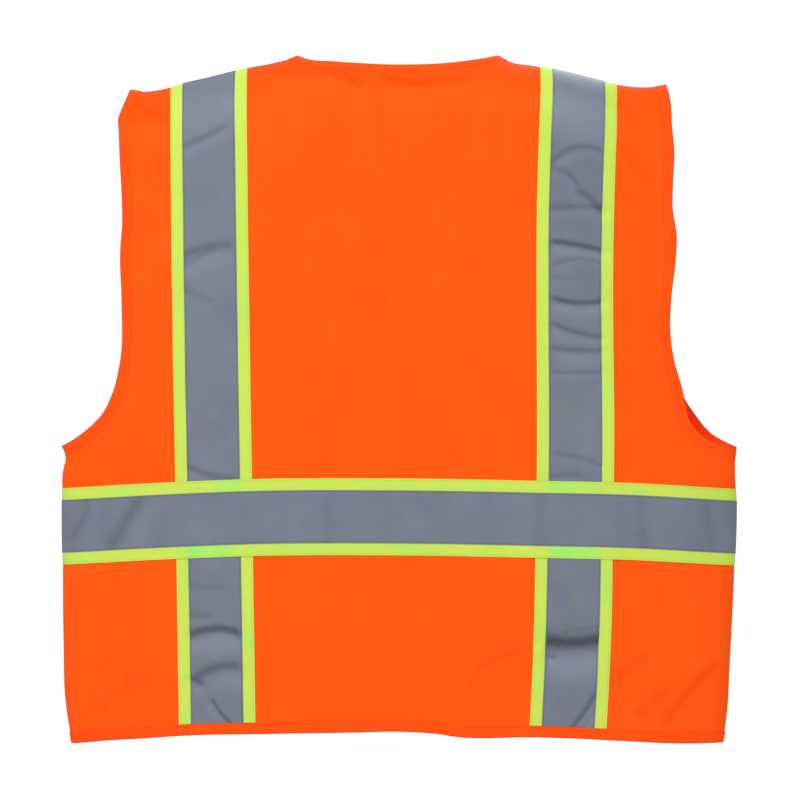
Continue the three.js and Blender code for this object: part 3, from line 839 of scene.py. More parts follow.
def srgb(red: float, green: float, blue: float) -> Colour:
    """A display colour, each part from 0 to 255, as linear light."""
    parts = (part / 255 for part in (red, green, blue))
    return tuple(p / 12.92 if p <= 0.04045 else ((p + 0.055) / 1.055) ** 2.4 for p in parts)


@dataclass(frozen=True)
class Knit:
    """Knitted polyester: upright wales of small loops and soft mottling, a slight painted light from emission
    that stands for the dye's fluorescence and shines whatever the lamps, and painted shade by the mark.
    """

    slot: str
    colour: Colour
    shade: Colour
    painted_shade: Colour
    wale: float = 0.0009
    course: float = 0.0007
    # Emission paints light on the cloth: the dye's fluorescence is real, but this shines whatever the lamps.
    painted_glow: float = 0.08

    def material(self) -> bpy.types.Material:
        """Loops are the product of a sine across and a sine along; colour follows noise at two sizes."""
        nodes = Nodes(self.slot)
        across, along = nodes.cloth_place()
        loops = across.wave(self.wale) * 0.6 + along.wave(self.course) * 0.4
        broad = nodes.noise(0.05, 3)
        fine = nodes.noise(0.004, 3)
        streaks = nodes.streaks(0.006, 0.12)
        share = (broad * 1.0 + fine * 0.4 + streaks * 0.8 - 0.65 - loops * 0.08).clipped()
        colour = nodes.mix(share, self.shade, self.colour)
        # Painted shade: the mark darkens the cloth in its creases and along the shoulder, and a binding where
        # it rolls round its edge.
        colour = nodes.mix(nodes.mark().clipped(), colour, self.painted_shade)
        height = loops * 0.25 + 0.5 + fine * 0.5
        return nodes.finish({
            "Base Color": colour,
            "Roughness": 0.82,
            "Specular IOR Level": 0.05,
            "Emission Color": colour,
            "Emission Strength": self.painted_glow,
            "Normal": nodes.bump(height, 0.00025, 0.5),
        })


@dataclass(frozen=True)
class Ribbon:
    """A woven ribbon with fine cross ribs; where its mark is 1 it lies over grey tape and looks deeper."""

    slot: str
    colour: Colour
    shade: Colour
    over: Colour | None = None
    rib: float = 0.0011
    # Emission paints light on the ribbon: the lime dye's fluorescence is real, but this shines whatever the
    # lamps.
    painted_glow: float = 0.06
    rough: float = 0.75

    def material(self) -> bpy.types.Material:
        """Ribs are a sine along the ribbon, with a weaker one across; colour follows noise and the mark."""
        nodes = Nodes(self.slot)
        across, along = nodes.cloth_place()
        ribs = along.wave(self.rib) * 0.7 + across.wave(self.rib) * 0.3
        fine = nodes.noise(0.003, 2)
        share = (nodes.noise(0.03, 2) * 0.9 + fine * 0.5 - 0.2 + ribs * 0.1).clipped()
        colour = nodes.mix(share, self.shade, self.colour)
        if self.over:
            patches = nodes.noise(0.045, 3)
            deeper = nodes.mark() * (0.15 + patches * 1.1) + (patches - 0.5) * 2.4
            colour = nodes.mix((deeper * 0.85).clipped(), colour, self.over)
        return nodes.finish({
            "Base Color": colour,
            "Roughness": self.rough,
            "Specular IOR Level": 0.08,
            "Emission Color": colour,
            "Emission Strength": self.painted_glow,
            "Normal": nodes.bump(ribs * 0.3 + 0.5 + fine * 0.3, 0.0002, 0.6),
        })


@dataclass(frozen=True)
class BeadedTape:
    """Grey retroreflective tape: a layer of fine glass beads on cloth, a little glossy, faintly cloudy."""

    slot: str
    colour: Colour
    shade: Colour
    cool: Colour
    painted_shade: Colour
    raised: Colour

    def material(self) -> bpy.types.Material:
        """Colour follows clouds of two hues; by the mark, painted shade darkens it in the creases and over the
        shoulder, and a painted highlight lightens it where the mark is below 0; beads are fine noise in the
        bump."""
        nodes = Nodes(self.slot)
        clouds = nodes.noise(0.03, 4)
        hues = nodes.noise(0.055, 2)
        beads = nodes.noise(0.0007, 1)
        weave = nodes.noise(0.0035, 2)
        share = (clouds * 1.9 + weave * 0.3 + beads * 0.2 - 0.7).clipped()
        grey = nodes.mix(share, self.shade, self.colour)
        grey = nodes.mix((hues * 2.6 - 0.9).clipped(), grey, self.cool)
        crease = nodes.mark()
        grey = nodes.mix((crease * (0.5 + weave * 0.3)).clipped(), grey, self.painted_shade)
        # Painted highlight where the mark is below 0: under the creases and near the top of the right stripe.
        grey = nodes.mix((crease * -1.2).clipped(), grey, self.raised)
        return nodes.finish({
            "Base Color": grey,
            "Metallic": 0.1,
            "Roughness": 0.56 + clouds * 0.1,
            "Specular IOR Level": 0.3,
            "Normal": nodes.bump(beads * 0.35 + weave * 0.65, 0.0004, 0.6),
        })


@dataclass(frozen=True)
class Moulded:
    """Moulded plastic or cast metal, with fine handling marks."""

    slot: str
    colour: Colour
    shade: Colour
    metallic: float = 0.0
    rough: float = 0.4

    def material(self) -> bpy.types.Material:
        """Noise at two sizes shifts the colour and the roughness a little."""
        nodes = Nodes(self.slot)
        broad = nodes.noise(0.006, 3)
        fine = nodes.noise(0.0007, 2)
        return nodes.finish({
            "Base Color": nodes.mix((broad * 1.5 - 0.25).clipped(), self.shade, self.colour),
            "Metallic": self.metallic,
            "Roughness": self.rough - 0.08 + broad * 0.16,
            "Normal": nodes.bump(fine, 0.00004, 0.4),
        })


@dataclass(frozen=True)
class HookAndLoop:
    """A touch fastener: short dense pile."""

    slot: str
    colour: Colour
    shade: Colour
    pile: float = 0.0008

    def material(self) -> bpy.types.Material:
        """Round tufts from a cell pattern set both the colour and the bump; the darker colour between the
        tufts is painted shade in the gaps of the pile.
        """
        nodes = Nodes(self.slot)
        place = nodes.object_place()
        cells = nodes.add("ShaderNodeTexVoronoi", None, {"Vector": place, "Scale": 1 / self.pile})
        tufts = (1 - Signal(nodes, cells.outputs["Distance"])).clipped()
        return nodes.finish({
            # Painted shade between the tufts, lighter on their tops.
            "Base Color": nodes.mix(tufts, self.shade, self.colour),
            "Roughness": 0.85,
            "Sheen Weight": 0.3,
            "Normal": nodes.bump(tufts, 0.0004, 0.8),
        })


class Finishes:
    """Every material of the vest, made once, under its finish's name."""

    def __init__(self) -> None:
        """Makes the materials."""
        orange, lime, grey = srgb(255, 91, 19), srgb(199, 223, 92), srgb(121, 127, 143)
        finishes = [
            # Painted shade colours: the body cloth in its creases and along the shoulder, the binding where it
            # rolls round the edge.
            Knit("orange_cloth", orange, srgb(253, 82, 15), painted_shade=srgb(240, 58, 4)),
            Knit("binding_cloth", srgb(254, 84, 18), srgb(250, 76, 16), painted_shade=srgb(190, 54, 14)),
            Ribbon("lime_trim", lime, srgb(190, 215, 82), over=srgb(154, 227, 104)),
            BeadedTape(
                "reflective_tape", grey, srgb(107, 113, 129), cool=srgb(112, 122, 133),
                # Painted shade for the tape's creases and shoulder turn, and a painted highlight colour for
                # below its creases.
                painted_shade=srgb(62, 64, 78), raised=srgb(132, 140, 156),
            ),
            Ribbon("zip_tape", srgb(30, 30, 33), srgb(24, 24, 26), rib=0.0016, painted_glow=0.0),
            Moulded("zip_plastic", srgb(40, 40, 44), srgb(32, 32, 35), rough=0.35),
            Moulded("zip_metal", srgb(60, 61, 68), srgb(46, 47, 53), metallic=0.8, rough=0.3),
            HookAndLoop("hook_and_loop", srgb(232, 86, 42), srgb(170, 56, 20)),
            Ribbon("label_cloth", srgb(236, 234, 228), srgb(222, 220, 214), rib=0.0006, painted_glow=0.0, rough=0.45),
            Ribbon("orange_thread", srgb(255, 84, 24), srgb(240, 66, 20), rib=0.0005, painted_glow=0.0),
            Ribbon("lime_thread", srgb(196, 220, 92), srgb(178, 204, 80), rib=0.0005, painted_glow=0.0),
            Ribbon("grey_thread", srgb(104, 110, 122), srgb(92, 98, 110), rib=0.0005, painted_glow=0.0),
        ]
        self.by_slot = {finish.slot: finish.material() for finish in finishes}

    def dress(self, piece: bpy.types.Object, name: str) -> None:
        """Gives a piece the material of that name as its only one."""
        piece.data.materials.clear()
        piece.data.materials.append(self.by_slot[name])


# ---------------------------------------------------------------- how pieces are held


@dataclass(frozen=True)
class Fold:
    """The line (x, z) that each front turns back along, its depth and the bend's reach, in millimetres."""

    top: tuple[float, float] = (86, -60)
    hem: tuple[float, float] = (128, -660)
    depth: float = 52
    reach: float = 7

    def ends(self, side: Side) -> tuple[Place, Place]:
        """Where a bend starts and ends: a reach to either side of the line's middle, square to it.

        Args:
            side: the front that turns back.

        Returns:
            A point on the garment and a point on the lapel, in metres.
        """
        (x0, z0), (x1, z1) = self.top, self.hem
        length = math.hypot(x1 - x0, z1 - z0)
        across = ((z1 - z0) / length, -(x1 - x0) / length)
        middle = ((x0 + x1) / 2, (z0 + z1) / 2)
        points = []
        for sign in (-1, 1):
            x, z = (middle[k] + sign * self.reach * across[k] for k in (0, 1))
            points.append((side.value * x * MM, self.depth * MM, z * MM))
        return points[0], points[1]


@dataclass
class Fitter:
    finishes: Finishes
    fold: Fold = Fold()

    def fit(
        self, piece: bpy.types.Object, finish: str, body: "str | Side", nodes: Sequence[str] = (),
        slot: str | None = None,
    ) -> bpy.types.Object:
        """Gives a piece its material, and the body that carries it.

        Args:
            piece: the finished piece.
            finish: the material's name.
            body: a body, or a side whose fold the piece crosses from the garment into that side's lapel; such
                a piece is fixed in place where it stands and not tied to a body.
            nodes: the frame's nodes that it stands for.
            slot: not used.

        Returns:
            The piece.
        """
        self.finishes.dress(piece, finish)
        if isinstance(body, Side):
            start, end = self.fold.ends(body)
            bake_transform(piece)
        else:
            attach(piece, body)
        if nodes:
            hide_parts(*nodes)
        LOG.info("%s: %d faces", piece.name, len(piece.data.polygons))
        return piece

    def cloth(
        self, slab: Slab, name: str, finish: str, body: "str | Side", nodes: Sequence[str] = (),
        held: str = "hung", hangs: Sequence[str] = (),
    ) -> bpy.types.Object:
        """Args:
            slab: the cloth.
            name: the piece's name.
            finish: the material's name.
            body: as for fit.
            nodes: the frame's nodes that it stands for.
            held: not used.
            hangs: not used.

        Returns:
            The piece.
        """
        piece = slab.build(name)
        sharpen(piece)
        self.fit(piece, finish, body, nodes)
        slab.area()
        return piece


# ---------------------------------------------------------------- the body and its edges


@dataclass(frozen=True)
class Layers:
    """Heights above the middle of the body cloth, in millimetres: (inner face, outer face)."""

    body: tuple[float, float] = (-0.45, 0.45)
    trim: tuple[float, float] = (0.47, 0.85)
    tape: tuple[float, float] = (0.88, 1.2)
    binding: float = 1.15
    over_stripe: float = 0.78
    climb: float = 12.0
    tuck: float = 0.8


@dataclass
class Maker:
    """Makes a group of pieces: form is what their cloth lies on, and fitter dresses and ties them."""

    form: Form
    fitter: Fitter


@dataclass
class Panels(Maker):
    """The body cloth: one back and two fronts, which end at a front edge some way off the middle."""

    step: float = 3.6
    front_edge: float = 11.0
    layers: Layers = Layers()

    def rows(self, side: Side) -> Array:
        """Heights q from 0 to the shoulder, a step apart along the side seam and armhole."""
        q = np.linspace(0, self.form.height, 4001)
        x = self.form.edge(side, q)
        line = np.stack([x, self.form.z_of(side.value * x, q)], axis=1)
        return self.form.height * evenly(line, self.step * 0.9)

    def top(self, x: Array) -> Array:
        """The back cloth's highest q at x: the shoulder, or the neckline between the neck points."""
        neck = through(self.form.outline.back_neck, x)
        at_neck = np.abs(x) < self.form.outline.back_neck[-1][0]
        z = np.where(at_neck, np.minimum(neck, self.form.shoulder(x)), self.form.shoulder(x))
        return self.form.q_of(x, z)

    def slab(self, x: Array, q: Array, half: Half, heights: Heights, tuck: float = 0) -> Slab:
        """A slab over a grid of places, with the cloth's painted shade as its marks.

        Args:
            x: places across the body.
            q: heights over the hem.
            half: the back or the front.
            heights: its inner and outer face, over the middle of the body cloth.
            tuck: how far it is pressed in where bands cover it.

        Returns:
            The slab.
        """
        low = tuck * self.form.banded(x, q, half)
        inner, outer = (self.form.place(x, q, half, h - low) for h in heights)
        return Slab(outer, inner, marks=self.form.cloth_tone(x, self.form.z_of(x, q), half))

    def back(self) -> None:
        """Rows of equal t run from the left edge to the right edge; q = t * top(x)."""
        t = self.rows(Side.LEFT)[:, None] / self.form.height
        left = -self.form.edge(Side.LEFT, t * self.form.height, Half.BACK)
        right = self.form.edge(Side.RIGHT, t * self.form.height, Half.BACK)
        share = (self.form.columns(self.step, -1, 1)[None, :] + 1) / 2
        x = left + (right - left) * share
        slab = self.slab(x, t * self.top(x), Half.BACK, self.layers.body, self.layers.tuck)
        self.fitter.cloth(slab, "back_cloth", "orange_cloth", "garment", ["back_panel"])

    def inner_edge(self, q: Array) -> Array:
        """Half-width at which a front's cloth ends: the front edge, then the neckline."""
        return np.maximum(self.front_edge, through(self.form.neckline, q))

    def front(self, side: Side) -> None:
        """Rows of equal q run from the front edge or neckline out to the side seam or armhole.

        Args:
            side: which front.
        """
        q = self.rows(side)[:, None]
        low, high = self.inner_edge(q), self.form.edge(side, q)
        share = self.form.columns(self.step, self.front_edge / self.form.half_width, 1)[None, :]
        share = (share - share[0, 0]) / (1 - share[0, 0])
        x = side.value * (low + (high - low) * share)
        slab = self.slab(x, q + 0 * x, Half.FRONT, self.layers.body, self.layers.tuck)
        nodes = [f"{side.label}_front_side_panel", f"{side.label}_front_lapel_panel"]
        self.fitter.cloth(slab, f"{side.label}_front_cloth", "orange_cloth", side, nodes)

    def build(self) -> None:
        """Makes all three."""
        self.back()
        for side in Side:
            self.front(side)


@dataclass(frozen=True)
class Path:
    """An edge of the body cloth: points on the form, with the way into the cloth and the way out of it.

    taper is the share of its height that a binding's outer face loses towards its free edge.
    """

    edge: Array
    inward: Array
    normal: Array
    half: Half
    closed: bool
    taper: float


@dataclass
class Bindings(Maker):
    """Folded strips that cover every raw edge of the panels.

    wrap is how far a strip stands out past the edge, hug the height of its inner face, shade the strength of
    the painted shade where it goes round the edge, and middle the height z that a neckline's way in leads
    towards.
    """

    panels: Panels
    step: float = 3.0
    width: float = 10.0
    neck_width: float = 9.0
    wrap: float = 0.9
    hug: float = 0.55
    taper: float = 0.33
    shade: float = 0.5
    middle: float = -300.0
    samples: int = 1500

    def path(self, x: Array, z: Array, half: Half, inside: Place, taper: float) -> Path:
        """An edge through places on one half of the form, with stations a step apart.

        Args:
            x: places across the body.
            z: heights.
            half: the back or the front.
            inside: a point that the way into the cloth leads towards.
            taper: as the path's own.

        Returns:
            The path.
        """
        fine = self.form.surface(x, self.form.q_of(x, z), half)[0]
        share = evenly(fine, self.step)
        at = np.linspace(0, 1, len(x))
        x, z = np.interp(share, at, x), np.interp(share, at, z)
        edge, normal = self.form.surface(x, self.form.q_of(x, z), half)
        inward = self._inward(np.gradient(edge, axis=0), normal)
        sign = np.sign(np.einsum("ij,ij->i", inward, np.array(inside) - edge).sum())
        return Path(edge, inward * sign, normal, half, False, taper)

    @staticmethod
    def _inward(along: Array, normal: Array) -> Array:
        """The way across an edge, as units: the cross product of its direction and the form's normal."""
        across = np.cross(along, normal)
        return across / np.maximum(np.linalg.norm(across, axis=1, keepdims=True), 1e-9)

    def at(self, path: Path, depth: Array, height: Array) -> Array:
        """The edge moved inwards, snapped to the form, then lifted along the form's normal.

        Args:
            path: the edge.
            depth: how far into the cloth each point of the profile lies; below 0 it is past the edge.
            height: each one's height over the middle of the cloth.

        Returns:
            Points (station, profile, 3) in metres.
        """
        inside = np.maximum(depth, 0)[None, :, None]
        outside = np.minimum(depth, 0)[None, :, None]
        point = path.edge[:, None, :] + path.inward[:, None, :] * inside
        base, normal = self.form.snap(point)
        lift = self.form.drape_at(base, path.half) + height[None, :]
        return (base + normal * lift[..., None] + path.inward[:, None, :] * outside) * MM

    def strip(self, path: Path, width: float) -> Slab:
        """A U-shaped strip: down the inside, round the edge in a half circle, and up the outside.

        Args:
            path: the edge that it covers.
            width: how far it reaches into the cloth.

        Returns:
            The strip, whose marks paint shade on it where it goes round the edge.
        """
        turn = np.linspace(-math.pi / 2, math.pi / 2, 7)
        flat = np.linspace(width, 0.6, 4)
        depth = np.concatenate([flat, -self.wrap * np.cos(turn), flat[::-1]])
        height = np.concatenate([-np.ones(4), np.sin(turn), np.ones(4)])
        swell = 1 + 0.1 * bell(np.maximum(depth, 0) - width / 2, width / 3)
        outer = self.at(path, depth, height * self.rise(path, depth, width) * swell)
        inner = self.at(path, np.maximum(depth, -0.3), height * self.hug)
        # Painted shade on the roll round the edge, where the strip turns away from the light.
        marks = np.broadcast_to(self.shade * (depth < 0), outer.shape[:2])
        return Slab(outer, inner, path.closed, marks)

    def rise(self, path: Path, depth: Array | float, width: float) -> Array | float:
        """Height of the outer face over the middle of the cloth, less by the taper at the free edge."""
        return self.panels.layers.binding * (1 - path.taper * np.maximum(depth, 0) / width)

    def armhole(self, side: Side) -> None:
        """One closed loop: up the back's edge from the underarm, over the shoulder, and down the front.

        Args:
            side: which armhole.
        """
        low = self.form.edges[Half.FRONT, side][0]
        q = np.linspace(low, self.form.height, self.samples)
        back, front = (self.form.surface(side.value * self.form.edge(side, q, half), q, half)[0]
                       for half in Half)
        edge = np.concatenate([back, front[-2:0:-1]])
        share = evenly(np.vstack([edge, edge[:1]]), self.step)[:-1] * (len(edge) - 1)
        edge = np.stack([np.interp(share, np.arange(len(edge)), edge[:, k]) for k in range(3)], axis=1)
        edge, normal = self.form.snap(edge)
        inward = self._inward(np.roll(edge, -1, axis=0) - np.roll(edge, 1, axis=0), normal)
        towards = -edge * np.array([0.5, 0, 0]) - np.array([0, 0, 40])
        inward *= np.where(np.einsum("ij,ij->i", inward, towards) < 0, -1, 1)[:, None]
        slab = self.strip(Path(edge, inward, normal, Half.BACK, True, self.taper), self.width)
        name = f"{side.label}_armhole"
        self.fitter.cloth(slab, f"{name}_edge", "binding_cloth", "garment", [f"{name}_binding"], "folded")

    def neck_path(self) -> Path:
        """The back neckline, from one neck point to the other."""
        reach = self.form.outline.back_neck[-1][0] - 0.5
        x = np.linspace(-reach, reach, 1200)
        z = self.form.z_of(x, self.panels.top(x))
        return self.path(x, z, Half.BACK, (0, -self.form.half_depth, self.middle), self.taper)

    def front_neck_path(self, side: Side) -> Path:
        """A front's neckline, from the neck point down to the front edge."""
        q = np.linspace(self.form.height, self.form.neckline[0][0], self.samples)
        x = side.value * self.panels.inner_edge(q)
        inside = (side.value * self.form.half_width, self.form.half_depth, self.middle)
        return self.path(x, self.form.z_of(x, q), Half.FRONT, inside, self.taper)

    def hem_path(self, half: Half, side: Side | None = None) -> Path:
        """The hem of the back, or of the front on one side.

        Args:
            half: the back or the front.
            side: the front's side.

        Returns:
            The hem's path.
        """
        low = -1 if side is None else side.value * self.panels.front_edge / self.form.half_width
        share = np.linspace(low, 1 if side is None else side.value, self.samples)
        x = share * self.form.edge_at(share, 0 * share)
        return self.path(x, self.form.hem(x), half, (0, self.form.half_depth * half.value, 0), taper=0.0)

    def build(self) -> None:
        """Makes every binding."""
        self.straight(self.neck_path(), self.hem_path(Half.BACK), "back", "garment", "")
        for side in Side:
            self.armhole(side)
            paths = self.front_neck_path(side), self.hem_path(Half.FRONT, side)
            self.straight(*paths, f"{side.label}_front", side, f"{side.label}_lapel_")

    def straight(self, neck: Path, hem: Path, name: str, body: "str | Side", node: str) -> None:
        """Makes the bindings of a neckline and a hem.

        Args:
            neck: the neckline.
            hem: the hem.
            name: what their names begin with.
            body: the body or side that carries them.
            node: what the names of the nodes that they stand for begin with.
        """
        for path, width, edge in ((neck, self.neck_width, "neck"), (hem, self.width, "hem")):
            slab, nodes = self.strip(path, width), [f"{node}{edge}_binding"]
            self.fitter.cloth(slab, f"{name}_{edge}_edge", "binding_cloth", body, nodes, "folded")


# ---------------------------------------------------------------- the reflective bands


class Part(Enum):
    """A band's two layers."""

    TRIM = "trim"
    TAPE = "tape"


@dataclass
class Bands(Maker):
    """Grey reflective tape on wider lime trim: four vertical stripes and a band round the waist.

    inset is the trim that shows above the waist's tape, and hem_gap the room left for the hem's binding.
    """

    panels: Panels
    step: float = 2.0
    trim_width: float = 74.0
    tape_width: float = 51.0
    inset: float = 11.5
    hem_gap: float = 10.3
    stripe_place: float = 175.0

    def stripe(self, half: Half, side: Side, width: float, heights: Heights, part: Part) -> Slab:
        """A strip of constant width along a stripe's centre line: x = centre(z) + a, with a across it.

        Args:
            half: the back or the front.
            side: the wearer's left or right.
            width: the strip's width.
            heights: its inner and outer face, over the middle of the body cloth.
            part: trim or tape; a tape's marks are its painted shading.

        Returns:
            The strip, from the hem's binding to the shoulder.
        """
        a = np.linspace(-width / 2, width / 2, round(width / self.step) + 1)[None, :]
        q = self.stripe_rows(side, self.step, self.form.height)[:, None]
        x = self.centre(half, side, q) + a
        slab = self.panels.slab(x, q + 0 * x, half, heights)
        # A tape's marks paint shade in its creases and over the shoulder, and highlights just below the
        # creases.
        marks = self.form.tone(x, self.form.z_of(x, q), half) if part is Part.TAPE else 0 * x
        return Slab(slab.outer, slab.inner, marks=marks)

    def stripe_rows(self, side: Side, step: float, high: float) -> Array:
        """Heights q a step apart along a stripe, from just above the hem's binding."""
        x = np.array(side.value * self.stripe_place)
        low = self.form.q_of(x, self.form.hem(x) + self.hem_gap).item()
        return self.form.rows(step, low, high)

    def centre(self, half: Half, side: Side, q: Array) -> Array:
        """The centre line x of a stripe at q."""
        z = self.form.z_of(np.full_like(q, side.value * self.stripe_place), q)
        return self.form.stripe(half, side, z)

    def over_stripes(self, x: Array, z: Array, half: Half) -> Array:
        """How far the waist band climbs where it passes over a stripe.

        Args:
            x: places across the body.
            z: heights.
            half: the back or the front.

        Returns:
            The climb in millimetres.
        """
        lift = np.zeros_like(x)
        climb = self.trim_width / 2 + 2
        for side in Side:
            away = np.abs(x - self.form.stripe(half, side, z))
            lift = lift + ramp(-away, -climb - self.panels.layers.climb, -climb)
        return lift * self.panels.layers.over_stripe

    def waist_places(self, share: Array, drop: Array | float) -> tuple[Array, Array]:
        """x and z a drop below the waist line, at shares of the half-width."""
        z = through(self.form.outline.waist_top, share * self.form.half_width) - drop
        return share * self.form.seam_at(share, z), z

    def waist(
        self, half: Half, start: float, stop: float, drop: float, width: float,
        heights: Heights, part: Part,
    ) -> Slab:
        """A strip of constant width below the waist line, lifted where it passes over a stripe:
        z = waist(x) - drop - a, with a down the strip.

        Args:
            half: the back or the front.
            start: where it starts, as a share of the half-width.
            stop: where it stops, likewise.
            drop: how far below the waist line its top edge lies.
            width: the strip's width.
            heights: its inner and outer face, over the middle of the body cloth.
            part: trim or tape; a tape's marks are its painted shading, and the trim's say where it crosses a
                stripe.

        Returns:
            The strip.
        """
        share = self.form.columns(self.step, start, stop)[:, None]
        a = np.linspace(0, width, round(width / self.step) + 1)[None, :]
        x, z = self.waist_places(share, drop + a)
        q = self.form.q_of(x, z)
        lift = self.over_stripes(x, z, half)
        inner, outer = (self.form.place(x, q, half, h + lift) for h in heights)
        if part is Part.TAPE:
            return Slab(outer, inner, marks=self.form.tone(x, z, half))
        mark = np.zeros_like(x)
        for side in Side:
            away = np.abs(x - self.form.stripe(half, side, z))
            mark = mark + ramp(-away, -self.tape_width / 2 - 4, -self.tape_width / 2 + 3)
        return Slab(outer, inner, marks=mark)

    def build(self) -> None:
        """Makes the stripes and the waist band's three runs, the trim before the tape."""
        layers = self.panels.layers
        parts = ((Part.TRIM, self.trim_width, 0.0, layers.trim, "lime_trim"),
                 (Part.TAPE, self.tape_width, self.inset, layers.tape, "reflective_tape"))
        edge = self.panels.front_edge / self.form.half_width
        fit = self.fitter.cloth
        for part, width, drop, heights, finish in parts:
            layer = part.value
            for half in Half:
                for side in Side:
                    node = f"{half.name.lower()}_{side.label}_stripe_{layer}"
                    slab = self.stripe(half, side, width, heights, part)
                    fit(slab, f"{node}_strip", finish, "garment", [node], "stretched")
            slab = self.waist(Half.BACK, -1, 1, drop, width, heights, part)
            fit(slab, f"back_waist_{layer}_strip", finish, "garment", [f"back_waist_{layer}"], "stretched")
            for side in Side:
                slab = self.waist(Half.FRONT, side.value * edge, side.value, drop, width, heights, part)
                nodes = [f"{side.label}_front_waist_{layer}", f"{side.label}_lapel_waist_{layer}"]
                fit(slab, f"{side.label}_waist_{layer}_strip", finish, side, nodes, "stretched")


# ---------------------------------------------------------------- stitching


